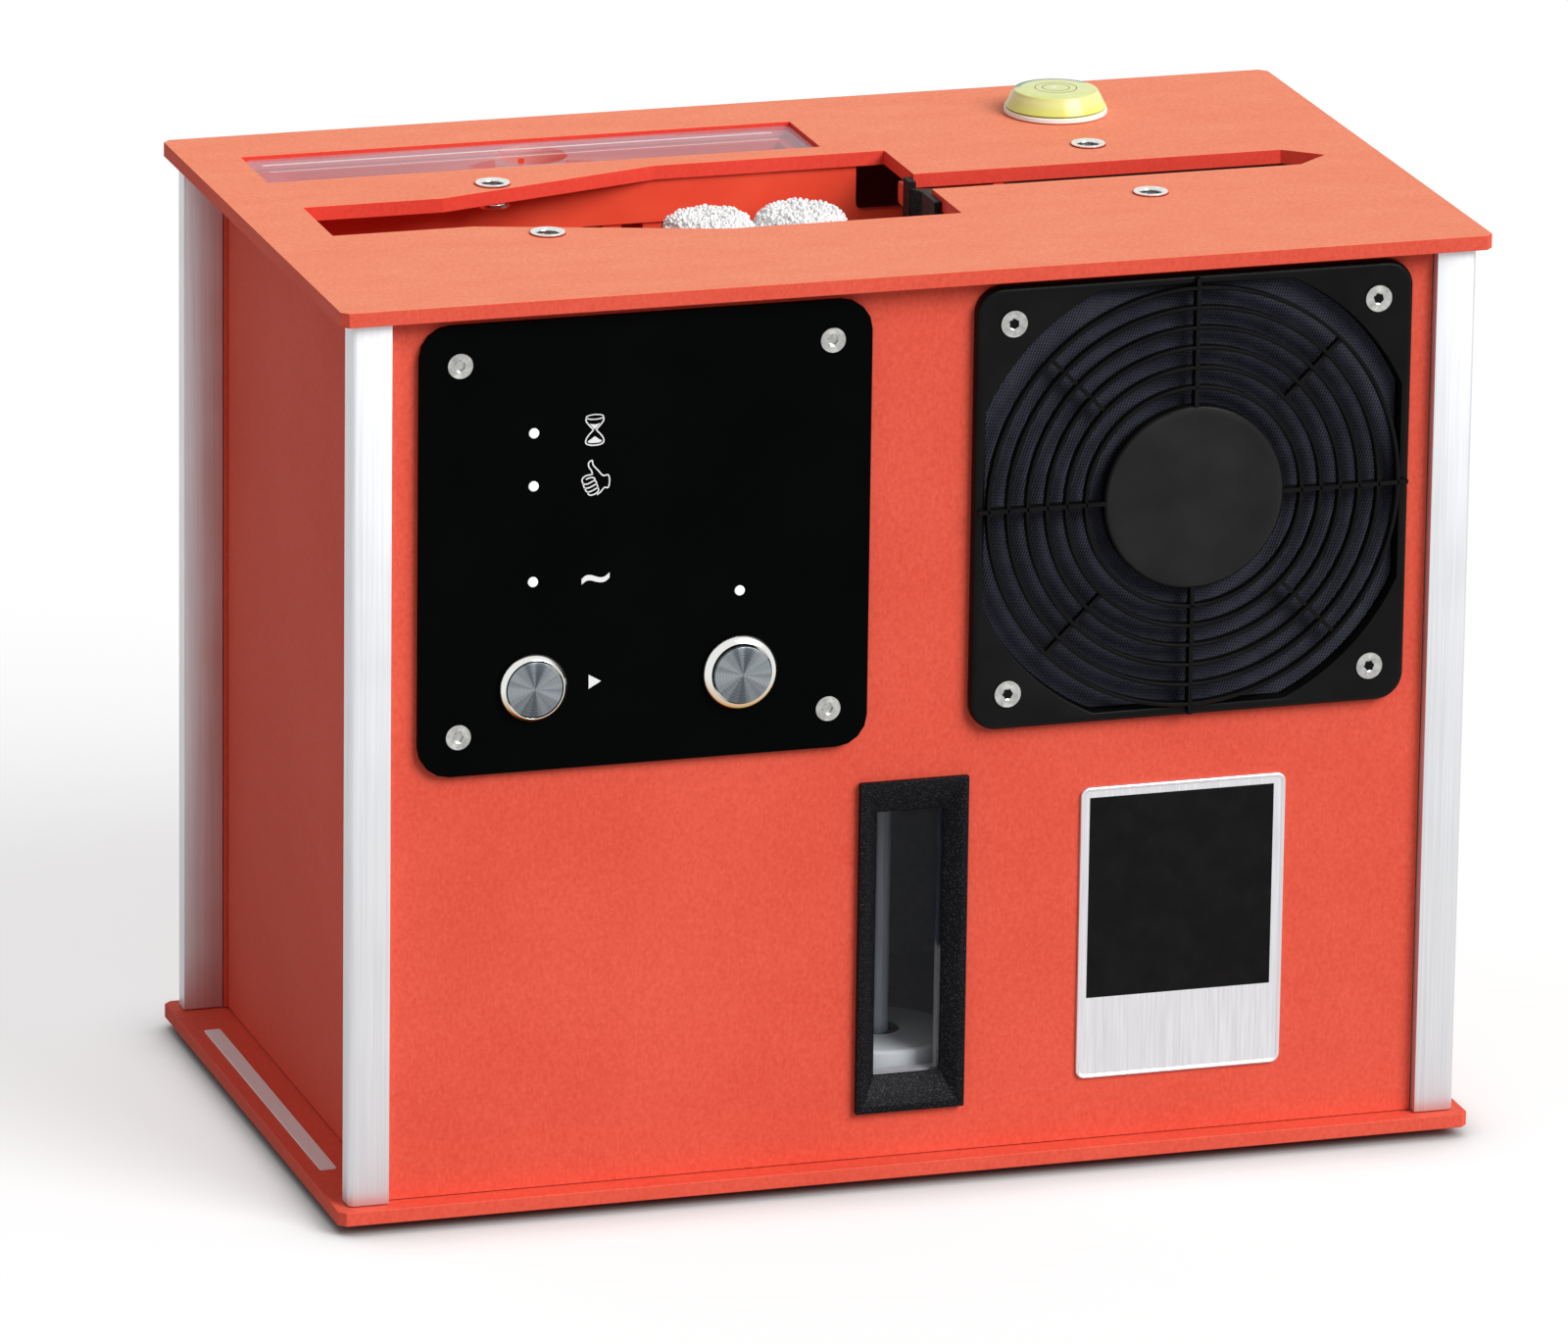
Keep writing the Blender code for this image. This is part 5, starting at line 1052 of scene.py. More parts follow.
gear_nylon = Finish("gear_nylon", (0.7, 0.69, 0.64), 0.38)
nylon_cloud = gear_nylon.noise(0.002, 3.0)
gear_nylon.tint(nylon_cloud, (0.64, 0.62, 0.56), (0.76, 0.75, 0.7))
gear_nylon.relief(nylon_cloud, 0.00004, 0.3)
dress(gear_nylon, "sun_gear")

passivated = Finish("passivated_zinc", (0.4, 0.4, 0.39), 0.38, metallic=0.9)
crystals = passivated.cells(CRYSTAL_SIZE, "F1")
passivated.tint(crystals, (0.34, 0.34, 0.33), (0.47, 0.47, 0.45), 0.1, 0.6)
passivated.sheen(crystals, 0.3, 0.46, 0.1, 0.6)
passivated.relief(crystals, 0.00002, 0.3)
dress(passivated, "gear_plate", "roller_motor", "wheel_motor")


# Microfibre rollers
# Each roller is a sleeve of deep white microfibre over its spindle. The pile is curled into
# small soft tufts that stand close together, out to the next roller.

PILE_DEPTH = 0.0007
PILE_SEGMENTS = 48
PILE_RISE = 0.0012
PILE_REACH = 0.0003
LUMP_DEPTH = 0.0014
LUMP_GRAIN = 0.0036
SLEEVE_BORE = 0.0063
SLEEVE_WALLS = 14
SHOULDER = 0.36
SPINDLE_GAP = 0.0004
TUFT_SIZE = 0.00052
TUFT_CURL = 0.0006
TUFT_START = 0.0015


def sleeve_rings(radius, low, high, bore_top):
    """Half section of a sleeve, closed over its spindle, its top shoulder well rounded."""
    shoulder = radius * SHOULDER
    rings = [(0.0, bore_top), (SLEEVE_BORE, bore_top), (SLEEVE_BORE, low), (radius, low)]
    rings += [(radius, low + (high - shoulder - low) * step / SLEEVE_WALLS)
              for step in range(1, SLEEVE_WALLS)]
    rings += arc(radius - shoulder, high - shoulder, shoulder, shoulder, 6)
    return rings + [((radius - shoulder) * share, high) for share in (0.7, 0.45, 0.2, 0.0)]


def fleece(corner, seed, finish):
    """The sleeve of one roller, lumpy, with tufts over its outer face."""
    low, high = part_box(f"roller_sleeve_{corner}")
    bore_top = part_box(f"roller_spindle_{corner}")[1].z + SPINDLE_GAP
    reach = (high.x - low.x) / 2
    rings = sleeve_rings(reach - PILE_DEPTH, low.z + 0.0002, high.z - PILE_DEPTH + PILE_RISE / 2, bore_top)
    core = turned_skin("fleece_core", rings, PILE_SEGMENTS)
    make = Making(f"fleece_{corner}", Spacing=TUFT_SIZE, Seed=seed, TuftRadius=TUFT_SIZE, Curl=TUFT_CURL,
                  LumpDepth=LUMP_DEPTH, LumpGrain=1 / LUMP_GRAIN, Floor=reach - PILE_DEPTH - 0.001)
    given = make.given
    place = make.first("GeometryNodeInputPosition")
    normal = make.first("GeometryNodeInputNormal")
    feeds = {0: place, 1: (1.0, 1.0, 0.0)}
    flat = make.first("ShaderNodeVectorMath", feeds, operation="MULTIPLY")
    outward = make.node("ShaderNodeVectorMath", {0: flat}, operation="LENGTH").outputs[1]
    height = make.node("ShaderNodeSeparateXYZ", {0: place}).outputs[2]
    outside, on_top = (make.first("FunctionNodeCompare", {0: value, 1: least}, data_type="FLOAT",
                                  operation="GREATER_THAN")
                       for value, least in ((outward, given["Floor"]), (height, bore_top + TUFT_START)))
    either = make.first("FunctionNodeBooleanMath", {0: outside, 1: on_top}, operation="OR")
    feeds = {"Vector": place, "Scale": given["LumpGrain"], "Detail": 2.0}
    lump = make.first("ShaderNodeTexNoise", feeds)
    rise = make.count("MULTIPLY", make.count("SUBTRACT", lump, 0.5), given["LumpDepth"])
    feeds = {"Geometry": given["Geometry"], "Selection": either, "Offset": make.scaled(normal, rise)}
    lumpy = make.first("GeometryNodeSetPosition", feeds)
    feeds = {"Mesh": lumpy, "Selection": either, "Distance Min": given["Spacing"], "Density Max": 3.0e6,
             "Seed": given["Seed"]}
    seats = make.node("GeometryNodeDistributePointsOnFaces", feeds, distribute_method="POISSON").outputs
    curl = make.count("MULTIPLY", make.count("POWER", make.random(0.0, 1.0), 3.0), given["Curl"])
    feeds = {"Geometry": seats[0], "Offset": make.scaled(seats[1], curl)}
    raised = make.first("GeometryNodeSetPosition", feeds)
    feeds = {"Radius": given["TuftRadius"], "Subdivisions": 1}
    tuft = make.first("GeometryNodeMeshIcoSphere", feeds)
    turn = make.random((0.0, 0.0, 0.0), (6.0, 6.0, 6.0), "FLOAT_VECTOR")
    tufts = make.copies(raised, tuft, Rotation=turn, Scale=make.random(0.55, 1.25))
    piece = make.worked_out(new_piece(f"fleece_{corner}", core), make.join(lumpy, tufts), finish)
    for vertex in piece.data.vertices:
        pull = min(1.0, (reach + PILE_REACH) / max(math.hypot(vertex.co.x, vertex.co.y), MERGE))
        vertex.co.x = vertex.co.x * pull + (low.x + high.x) / 2
        vertex.co.y = vertex.co.y * pull + (low.y + high.y) / 2
        vertex.co.z = min(max(vertex.co.z, low.z), high.z + PILE_RISE)
    piece.data.shade_smooth()
    fitted(piece, f"roller_sleeve_{corner}", f"roller_{corner}")


microfibre = Finish("microfibre", (0.94, 0.94, 0.93), 0.95, specular=0.1)
microfibre.tint(microfibre.noise(0.0016, 4.0), (0.96, 0.96, 0.955), (0.985, 0.985, 0.98), 0.3, 0.6)
microfibre.set("Subsurface Weight", 1.0)
microfibre.set("Subsurface Radius", (0.002, 0.002, 0.002))
microfibre.relief(microfibre.noise(0.0004, 3.0), 0.00003, 0.3)
for seed, corner in enumerate(CORNERS, start=3):
    fleece(corner, seed, microfibre)


# Wipers
# Extruded black rubber strips, slotted between the lugs under the step, each with a thin lip of
# worn brown-grey rubber that trails along the record. The two wheels wear the same rubber.

STEP_X = 0.0286
WIPER_EASE = 0.00015

wiper_rubber = Finish("wiper_rubber", (0.01, 0.008, 0.008), 0.5, specular=0.1)
bloom = wiper_rubber.noise(0.0009, 4.0)
wiper_rubber.tint(bloom, (0.005, 0.004, 0.004), (0.03, 0.024, 0.022), 0.4, 0.8)
wiper_rubber.relief(bloom, 0.00008, 0.4)
dress(wiper_rubber, "drive_wheel", "support_wheel")

lip_brown = Finish("lip_brown", (0.04, 0.03, 0.026), 0.5, specular=0.14)
streaks = lip_brown.noise(0.0007, 3.0, lip_brown.stretched((1, 1, 0.2)))
lip_brown.tint(streaks, (0.016, 0.012, 0.01), (0.085, 0.068, 0.056), 0.35, 0.7)
lip_brown.relief(streaks, 0.00008, 0.5)
for side in ("front", "rear"):
    strip = eased_copy(f"wiper_{side}", f"wiper_{side}_strip", wiper_rubber, WIPER_EASE)
    second_finish(strip, lip_brown, lambda face: face.center.x > STEP_X)


# Ultrasonic transducer
# Steel horn bonded to the front wall of the chamber, with its ceramic stack behind.

horn_steel = Finish("transducer_steel", (0.52, 0.52, 0.54), 0.3, metallic=0.9)
lathe = horn_steel.noise(0.0003, 2.0, horn_steel.stretched((1, 0.05, 1)))
horn_steel.tint(lathe, (0.46, 0.46, 0.48), (0.6, 0.6, 0.62))
horn_steel.relief(lathe, 0.00002, 0.4)
dress(horn_steel, "ultrasonic_transducer")


# Filter and its clear lid
# A moulded box under the top board holds a block of open foam. A lid of lavender tinted clear
# acrylic lies flush over it, with a hole for a finger.

FOAM_STEPS = (60, 6, 24)
FOAM_BULGE = 0.0005
FOAM_ROUGH = 0.00025
FOAM_PORE = 0.0009
FOAM_DIP = 0.0035
FOAM_DIP_REACH = 0.0105
LID_EASE = 0.00035
LID_ROUNDING = 0.0026
LID_HOLE = 0.0098
# Each bright line of the lid, a raised strip coloured white as a painted reflection: its distance from the
# rear edge, half its width, and its height.
LID_LINES = ((0.0072, 0.00018, 0.00022), (0.0142, 0.0001, 0.0001))
LID_LINE_START = 0.0034
LID_LINE_END = 0.007
LID_LINE_SINK = 0.00004

dress(chamber_red, "filter_box")

lid_low, lid_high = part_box("filter_lid")
lid_middle = (lid_low + lid_high) / 2
lid_half = (lid_high - lid_low) / 2


def foam_block(low, high):
    """A block of open foam with soft edges and rough cut faces."""
    work = bmesh.new()
    middle = (low + high) / 2
    half = (high - low) / 2
    bmesh.ops.create_cube(work, size=2.0)
    for axis, count in enumerate(FOAM_STEPS):
        edges = [edge for edge in work.edges if abs((edge.verts[0].co - edge.verts[1].co)[axis]) > 1.9]
        bmesh.ops.subdivide_edges(work, edges=edges, cuts=count - 1, use_grid_fill=True)
    dice = random.Random(11)
    for vertex in work.verts:
        share = vertex.co.copy()
        edge_pull = sum(abs(value) > 0.999 for value in share) - 1
        inset = FOAM_BULGE * (1.0 + 0.9 * edge_pull) + dice.uniform(0.0, FOAM_ROUGH)
        vertex.co = middle + Vector([value * (size - inset) for value, size in zip(share, half)])
        if share.z > 0:
            off_hole = math.hypot(vertex.co.x - lid_middle.x, vertex.co.y - lid_middle.y)
            vertex.co.z -= FOAM_DIP * max(0.0, 1.0 - (off_hole / FOAM_DIP_REACH) ** 2) * share.z
    return plain_mesh("foam_block", work)


foam_red = Finish("filter_foam_red", (0.74, 0.09, 0.06), 0.95, specular=0.1)
pores = foam_red.cells(FOAM_PORE, "SMOOTH_F1")
foam_red.tint(pores, (0.95, 0.13, 0.085), (0.76, 0.08, 0.05), 0.15, 0.55)
foam_red.relief(pores, 0.0006, 0.8)
foam = new_piece("foam_block", foam_block(*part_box("filter_foam")), foam_red)
foam.data.shade_smooth()
fitted(foam, "filter_foam")

lid_edges = [(0.0, lid_low.z), (0.0, lid_high.z - LID_EASE), (LID_EASE * 0.3, lid_high.z - LID_EASE * 0.3),
             (LID_EASE, lid_high.z)]
lid_loops = [(rounded_box(lid_half.x - inset, lid_half.y - inset, LID_ROUNDING - inset, lid_middle.x,
                          lid_middle.y), height) for inset, height in lid_edges]
rim_steps = len(lid_loops[0][0])
for margin, height in reversed(lid_edges):
    reach = LID_HOLE + margin
    rim = arc(lid_middle.x, lid_middle.y, reach, reach, rim_steps, math.pi / rim_steps, 2 * math.pi)
    lid_loops.append((rim[:-1], height))

lid_tint = Finish("lid_acrylic", (0.43, 0.38, 0.45), 0.06)
lid_tint.set("Alpha", 0.34)
wipe_marks = lid_tint.noise(0.006, 3.0, lid_tint.stretched((0.05, 1, 1)))
lid_tint.tint(wipe_marks, (0.44, 0.5, 0.6), (0.5, 0.55, 0.65))
lid_tint.sheen(wipe_marks, 0.05, 0.09)
# Painted highlight: the lid's edge faces are coloured pale and whitish, for the light that the edges of
# clear acrylic catch.
lid_edge = Finish("lid_edge", (0.9, 0.86, 0.87), 0.12, specular=0.7)
lid_edge.set("Alpha", 0.28)
lid_edge.sheen(lid_edge.noise(0.001), 0.08, 0.2)
lid_mesh = stacked("filter_lid_plate", lid_loops, closed=True)
lid = new_piece("filter_lid_plate", lid_mesh, lid_tint, smooth=30)
second_finish(lid, lid_edge, lambda face: abs(face.normal.z) < 0.97)
fitted(lid, "filter_lid", "filter_lid")

# Painted reflection: thin raised strips on the lid, coloured white, stand for bright lines of reflected
# light.
lid_reflection_white = Finish("lid_line_white", (0.95, 0.92, 0.93), 0.15, specular=0.6)
lid_reflection_white.set("Alpha", 0.85)
lid_reflection_white.sheen(lid_reflection_white.noise(0.001), 0.1, 0.24)
line_work = bmesh.new()
line_length = 2 * lid_half.x - LID_LINE_START - LID_LINE_END
for inset, half_width, lift in LID_LINES:
    spot = Vector((lid_low.x + LID_LINE_START + line_length / 2, lid_high.y - inset,
                   lid_high.z + lift / 2 - LID_LINE_SINK))
    shape = Matrix.LocRotScale(spot, None, Vector((line_length, 2 * half_width, lift)))
    bmesh.ops.create_cube(line_work, size=1.0, matrix=shape)
lines = new_piece("filter_lid_reflection_ribs", plain_mesh("filter_lid_reflection_ribs", line_work), lid_reflection_white)
fitted(lines, body="filter_lid")


# Bubble level
# White moulded foot glued on the top board, and on it the clear vial, filled with yellow-green
# liquid, with two black rings printed round its bubble.

LEVEL_SEGMENTS = 96
LEVEL_SHIFT_X = 0.0005
LEVEL_SHIFT_Y = 0.0014
LEVEL_DROP = 0.0012
FOOT_INSET = 0.0006
FOOT_CORE = 0.005
VIAL_TOP = 0.0117
VIAL_EASE = 0.0004
RING_RADII = (0.00375, 0.0058)
RING_LINE = 0.00011
RING_LIFT = 0.00002
BUBBLE_RADIUS = 0.0023
BUBBLE_SHIFT = (-0.0005, 0.0004)
BUBBLE_SEGMENTS = 48

level_low, level_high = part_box("level_vial")
level_middle = (level_low + level_high) / 2
level_place = (level_middle.x - LEVEL_SHIFT_X, level_middle.y - LEVEL_SHIFT_Y, 0.0)
vial_foot = level_low.z
level_top = level_high.z - LEVEL_DROP
crown_low = level_top - 0.0004
foot_low, foot_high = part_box("level_base")
board_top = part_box("top_plate")[1].z
foot_radius = (foot_high.x - foot_low.x) / 2 - FOOT_INSET
vial_radius = foot_radius - 0.0003

foot_profile = [(0.0, foot_low.z), (FOOT_CORE, foot_low.z), (FOOT_CORE, board_top + 0.0003),
                (foot_radius - 0.0002, board_top + 0.0003), (foot_radius, board_top + 0.0005),
                (foot_radius - 0.0001, foot_high.z - 0.0003), (foot_radius - 0.0005, foot_high.z),
                (0.0, foot_high.z)]
level_white = Finish("level_foot_white", (0.9, 0.92, 0.86), 0.3)
level_white.tint(level_white.noise(0.003), (0.88, 0.91, 0.82), (0.93, 0.945, 0.9))
level_white.set("Subsurface Weight", 0.3)
level_white.set("Subsurface Radius", (0.002, 0.002, 0.0015))
level_foot = turned("level_foot", foot_profile, LEVEL_SEGMENTS, level_white, 35, middle=level_place)
fitted(level_foot, "level_base")


def crown_height(radius):
    """Height of the vial's crown at a distance from its middle."""
    share = radius / (VIAL_TOP - VIAL_EASE)
    return crown_low + (level_top - crown_low) * (1 - share * share)


vial_profile = [(0.0, vial_foot), (vial_radius - 0.0003, vial_foot), (vial_radius, vial_foot + 0.0003)]
for share in (0.25, 0.5, 0.75):
    radius = vial_radius + (VIAL_TOP - vial_radius) * share
    vial_profile.append((radius, vial_foot + (crown_low - vial_foot) * share))
vial_profile += arc(VIAL_TOP - VIAL_EASE, crown_low - VIAL_EASE, VIAL_EASE, VIAL_EASE, 4)
for share in (0.8, 0.6, 0.4, 0.2, 0.0):
    radius = (VIAL_TOP - VIAL_EASE) * share
    vial_profile.append((radius, crown_height(radius)))
lime = Finish("level_lime", (0.74, 0.79, 0.18), 0.22, specular=0.4)
x, y, depth = lime.axes()
side_tint = lime.blend(lime.spread(depth, vial_foot, vial_foot + 0.003), (0.72, 0.79, 0.13),
                       (0.8, 0.84, 0.33))
top_tint = lime.blend(lime.spread(lime.noise(0.004)), (0.74, 0.8, 0.23), (0.8, 0.85, 0.34))
faces = lime.blend(lime.spread(lime.upward(), 0.6, 0.9), side_tint, top_tint)
# Painted reflection: a dark teal and violet line along the far rim of the crown, coloured into the lime.
back = lime.count("SUBTRACT", y, level_place[1])
reach = lime.length(lime.count("SUBTRACT", x, level_place[0]), back)
rim = lime.count("MULTIPLY", lime.spread(reach, VIAL_TOP - 0.0022, VIAL_TOP - 0.0014),
                 lime.spread(back, 0.003, 0.0055), clamp=True)
rim = lime.count("MULTIPLY", rim, lime.spread(depth, crown_low - 0.001, crown_low - 0.0006), clamp=True)
far_rim_painted_shade = lime.blend(lime.spread(reach, VIAL_TOP - 0.0012, VIAL_TOP - 0.0006), (0.04, 0.2, 0.14),
                       (0.04, 0.03, 0.06))
lime.set("Base Color", lime.blend(rim, faces, far_rim_painted_shade))
lime.set("Subsurface Weight", 0.25)
lime.set("Subsurface Radius", (0.003, 0.003, 0.001))
vial = turned("level_vial_filled", vial_profile, LEVEL_SEGMENTS, lime, 35, middle=level_place)
fitted(vial, "level_vial")

ring_meshes = []
for radius in RING_RADII:
    inner, outer = radius - RING_LINE, radius + RING_LINE
    profile = [(reach, crown_height(reach) + lift) for reach, lift in (
        (inner, -RING_LIFT), (outer, -RING_LIFT), (outer, RING_LIFT), (inner, RING_LIFT))]
    ring_meshes.append(turned_skin("level_ring", profile, LEVEL_SEGMENTS, level_place, closed=True))
ring_ink = Finish("level_ring_ink", (0.03, 0.04, 0.02), 0.35)
ring_ink.sheen(ring_ink.noise(0.0004), 0.28, 0.45)
fitted(new_piece("level_rings", joined("level_rings", ring_meshes), ring_ink, smooth=35))

bubble_profile = [(0.0, level_top - 0.0005), *arc(0.0, level_top - 0.0004, BUBBLE_RADIUS, 0.00046, 5)]
bubble_clear = Finish("level_bubble", (0.9, 0.93, 0.7), 0.04, specular=0.6)
bubble_clear.set("Coat Weight", 0.8)
bubble_clear.set("Coat Roughness", 0.02)
bubble_clear.tint(bubble_clear.noise(0.002), (0.8, 0.85, 0.42), (0.9, 0.93, 0.64))
bubble_place = (level_place[0] + BUBBLE_SHIFT[0], level_place[1] + BUBBLE_SHIFT[1], 0.0)
bubble = turned("level_bubble", bubble_profile, BUBBLE_SEGMENTS, bubble_clear, 50, middle=bubble_place)
fitted(bubble)


# Threaded bushings
# Turned and nickel plated bushings with a thin collar, pressed into the top board. Their thread
# takes the screws of a record holder.

THREAD_PITCH = 0.0007
THREAD_DEPTH = 0.0003
BUSHING_SEGMENTS = 64
BUSHING_BORE = 0.0031
BUSHING_SLEEVE = 0.0042
COLLAR_SHADOW_WIDTH = 0.00022

nickel = Finish("bushing_nickel", (0.78, 0.78, 0.76), 0.16, metallic=1.0)
plating = nickel.noise(0.0008, 3.0)
nickel.tint(plating, (0.7, 0.7, 0.68), (0.86, 0.86, 0.85))
nickel.sheen(plating, 0.12, 0.24)
# Painted shadow: a dark red for the ring round each collar.
seat_red = Finish("seat_red", (0.42, 0.04, 0.025), 0.7, specular=0.1)
seat_red.relief(seat_red.noise(0.0004), 0.00005, 0.3)
for corner in CORNERS:
    low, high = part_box(f"bushing_{corner}")
    place = {"middle": ((low.x + high.x) / 2, (low.y + high.y) / 2, 0.0), "closed": True}
    collar = (high.x - low.x) / 2 - 0.0003
    root = BUSHING_BORE + THREAD_DEPTH
    profile = [(root, low.z), (collar - 0.0002, low.z), (collar, low.z + 0.0002), (collar, low.z + 0.0009),
               (collar - 0.0002, low.z + 0.0011), (BUSHING_SLEEVE, low.z + 0.0011),
               (BUSHING_SLEEVE, board_top + 0.0002), (collar - 0.0001, board_top + 0.0002),
               (collar, board_top + 0.0003), (collar, high.z - 0.00015), (collar - 0.00012, high.z),
               (BUSHING_BORE + 0.00065, high.z), (BUSHING_BORE + 0.0001, high.z - 0.0005)]
    thread_top = high.z - 0.0006
    for turn in range(int((thread_top - low.z) / THREAD_PITCH)):
        profile += [(radius, thread_top - (turn + share) * THREAD_PITCH) for radius, share in (
            (BUSHING_BORE, 0.1), (BUSHING_BORE, 0.3), (root, 0.6), (root, 0.8))]
    bushing = turned(f"bushing_{corner}_turned", profile, BUSHING_SEGMENTS, nickel, 30, **place)
    fitted(bushing, f"bushing_{corner}")
    # Painted shadow: a thin ring of dark red laid on the board round each collar stands for the shadow at
    # its foot.
    inner, outer = collar - 0.0001, collar + COLLAR_SHADOW_WIDTH
    under, over = board_top + 0.00002, board_top + 0.00005
    collar_shadow_rings = [(inner, under), (outer, under), (outer, over), (inner, over)]
    fitted(turned(f"bushing_{corner}_shadow_ring", collar_shadow_rings, BUSHING_SEGMENTS, seat_red, **place))


# Plates
# A bare black plate with a raised silver rim is glued to the front panel, and a thin bare strip
# of brushed foil lies along the left ledge of the bottom board; its near white colour is a painted
# reflection.

BADGE_LOW = (0.0482, 0.0245)
BADGE_HIGH = (0.1066, 0.1072)
BADGE_ROUNDING = 0.0026
BADGE_PROUD = 0.001
RIM_WIDTH = 0.0012
FIELD_SINK = 0.0003
INK_LOW = (0.0508, 0.0475)
INK_HIGH = (0.1032, 0.1042)
STRIP_LOW = (-0.1557, -0.058)
STRIP_HIGH = (-0.151, 0.0645)
STRIP_THICKNESS = 0.0004

panel_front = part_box("front_panel")[0].y
ledge_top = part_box("bottom_plate")[1].z
field_top = BADGE_PROUD - FIELD_SINK


def flat_plate(name, low, high, rounding, edges, place, finish, smooth=None, steps=15):
    """A thin plate between two corners, its edge drawn in pairs of inset and height."""
    half_x, half_y = (high[0] - low[0]) / 2, (high[1] - low[1]) / 2
    middle = low[0] + half_x, low[1] + half_y
    loops = [(rounded_box(half_x - inset, half_y - inset, rounding - inset, *middle, steps), height)
             for inset, height in edges]
    return new_piece(name, stacked(name, loops, place=place), finish, smooth)


def on_the_front(across, up, height):
    """A point drawn flat, laid on the front panel."""
    return across, panel_front - height, up


def on_the_ledge(across, along, height):
    """A point drawn flat, laid on the bottom board's ledge."""
    return across, along, ledge_top + height


silver = Finish("brushed_silver", (0.8, 0.8, 0.82), 0.42, metallic=0.8)
silver_brush = silver.noise(0.0005, 3.0, silver.stretched((1, 1, 0.03)))
silver.tint(silver_brush, (0.64, 0.64, 0.665), (0.74, 0.74, 0.76))
silver.sheen(silver_brush, 0.36, 0.48)
silver.relief(silver_brush, 0.00003, 0.4)
badge_edges = [(0.0, 0.00005), (0.0, BADGE_PROUD - 0.0005), (0.00015, BADGE_PROUD - 0.00015),
               (0.00045, BADGE_PROUD), (RIM_WIDTH - 0.0002, BADGE_PROUD - 0.0001), (RIM_WIDTH, field_top)]
badge = flat_plate("badge_plate", BADGE_LOW, BADGE_HIGH, BADGE_ROUNDING, badge_edges, on_the_front, silver,
                   smooth=35)
fitted(badge)

badge_black = Finish("badge_black", (0.01, 0.009, 0.01), 0.3, specular=0.08)
badge_black.tint(badge_black.noise(0.006, 3.0), (0.0035, 0.003, 0.0035), (0.007, 0.0065, 0.007))
badge_black.sheen(badge_black.noise(0.0005), 0.28, 0.42)
ink_edges = [(0.0, field_top - 0.0001), (0.0, field_top + 0.00004)]
ink = flat_plate("badge_ink", INK_LOW, INK_HIGH, 0.0001, ink_edges, on_the_front, badge_black, steps=2)
fitted(ink)

# Painted reflection: the foil is a near white matt non-metal, standing for the white surroundings that the
# metal strip mirrors.
foil_silver = Finish("foil_silver", (0.95, 0.97, 0.985), 0.45)
foil_brush = foil_silver.noise(0.0004, 3.0, foil_silver.stretched((1, 0.03, 1)))
foil_silver.tint(foil_brush, (0.92, 0.95, 0.97), (0.96, 0.98, 0.99))
foil_silver.relief(foil_brush, 0.00012, 0.8)
foil_edges = [(0.0, 0.00003), (0.0, STRIP_THICKNESS - 0.0001), (0.0001, STRIP_THICKNESS)]
foil = flat_plate("ledge_strip", STRIP_LOW, STRIP_HIGH, 0.0008, foil_edges, on_the_ledge, foil_silver, 35)
fitted(foil)


# Studio
# Pale floor that runs on to a white backdrop, a broad lamp from the front right and a soft even
# light from all round. The camera stands high at the front left, with a long lens.

FLOOR_HALF = 3.0
FLOOR_COLOUR = (0.42, 0.42, 0.42)
FLOOR_GLOW = 0.64
CONTACT_REACH = 0.03
WHITE = (1.0, 1.0, 1.0, 1.0)
LAMP_AIM = (-0.42, 0.6, -0.54)
LAMP_POWER = 2.85
LAMP_SPREAD = 34.0
ROUND_LIGHT = 0.36
CAMERA_PLACE = (-1.034066, -3.26364, 1.155881)
CAMERA_FORWARD = Vector((0.28685085, 0.91297995, -0.29014514))
CAMERA_UP = Vector((0.07421462, 0.28078443, 0.95689722))
CAMERA_RIGHT = Vector((0.95509622, -0.29601979, 0.0127868))
CAMERA_LENS = 299.86
SENSOR_WIDTH = 36.0


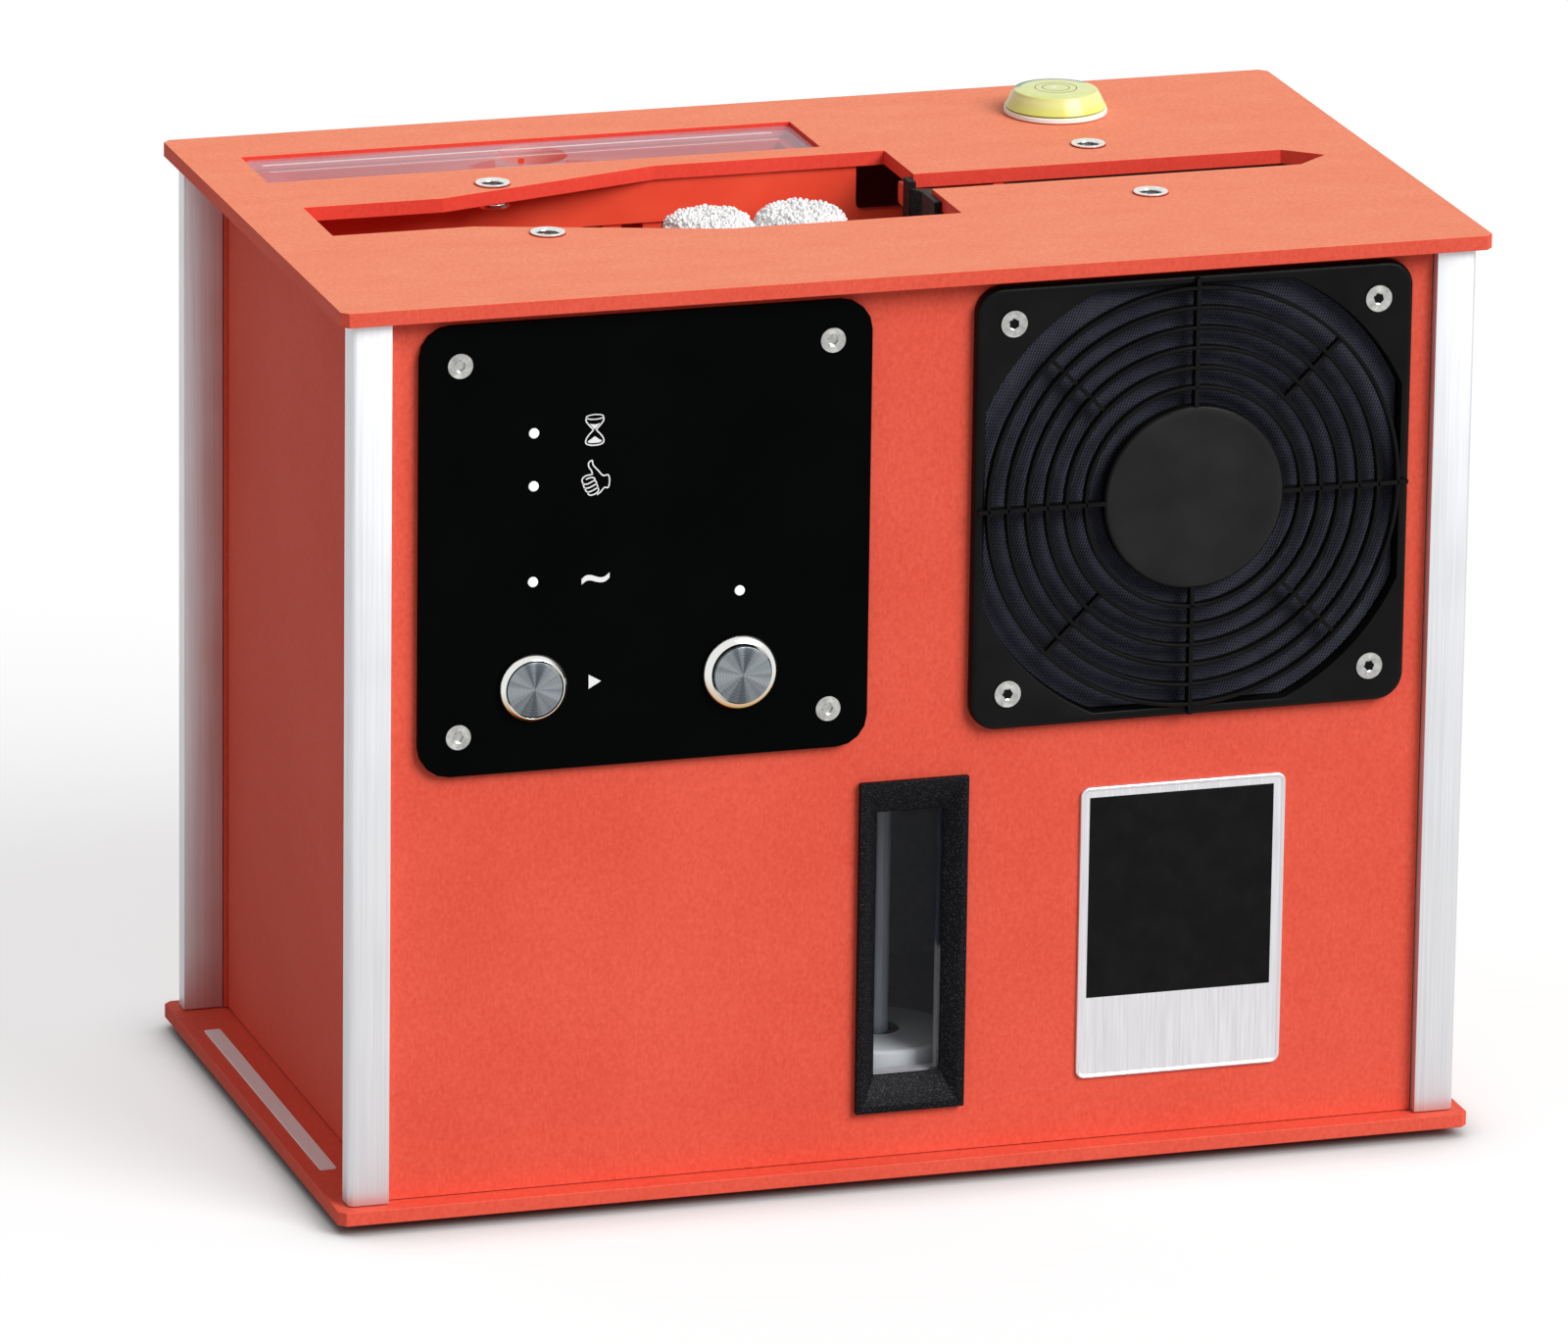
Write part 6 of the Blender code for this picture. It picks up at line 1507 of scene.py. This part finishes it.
def straight_view(nodes):
    """Whether a ray comes from the camera, or by way of a mirror or clear plastic."""
    ray = nodes.node("ShaderNodeLightPath").outputs
    by_way = nodes.count("MAXIMUM", ray["Is Glossy Ray"], ray["Is Transmission Ray"])
    return nodes.count("MAXIMUM", ray["Is Camera Ray"], by_way)


floor_work = bmesh.new()
bmesh.ops.create_grid(floor_work, x_segments=1, y_segments=1, size=FLOOR_HALF)
floor_paint = Finish("studio_floor", FLOOR_COLOUR, 0.9, specular=0.0)
# Painted shadow: the floor's glow fades where ambient occlusion finds the machine close by, a contact
# shadow painted into the floor.
contact = floor_paint.node("ShaderNodeAmbientOcclusion", {"Distance": CONTACT_REACH}, samples=8)
openness = floor_paint.spread(contact.outputs["AO"], 0.35, 0.95)
shine = floor_paint.count("MULTIPLY", straight_view(floor_paint), openness)
floor_paint.set("Emission Color", WHITE)
floor_paint.set("Emission Strength", floor_paint.count("MULTIPLY", shine, FLOOR_GLOW))
new_piece("studio_floor", plain_mesh("studio_floor", floor_work), floor_paint)

world = bpy.data.worlds.new("studio")
bpy.context.scene.world = world
world.use_nodes = True
sky = Nodes(world.node_tree)
backdrop = sky.tree.nodes["Background"].inputs
extra = sky.count("MULTIPLY", straight_view(sky), 1.0 - ROUND_LIGHT)
sky.feed(backdrop["Strength"], sky.count("ADD", extra, ROUND_LIGHT))
sky.feed(backdrop["Color"], WHITE)

lamp = bpy.data.lights.new("broad_lamp", "SUN")
lamp.energy = LAMP_POWER
lamp.angle = math.radians(LAMP_SPREAD)
lamp_stand = new_piece("broad_lamp", lamp)
lamp_stand.rotation_euler = Vector(LAMP_AIM).to_track_quat("-Z", "Y").to_euler()

lens = bpy.data.cameras.new("camera")
lens.lens = CAMERA_LENS
lens.sensor_width = SENSOR_WIDTH
lens.clip_end = 100.0
camera = new_piece("camera", lens)
stance = Matrix((CAMERA_RIGHT, CAMERA_UP, -CAMERA_FORWARD)).transposed().to_4x4()
camera.matrix_world = Matrix.Translation(CAMERA_PLACE) @ stance
bpy.context.scene.camera = camera
bpy.context.scene.view_settings.view_transform = "Standard"
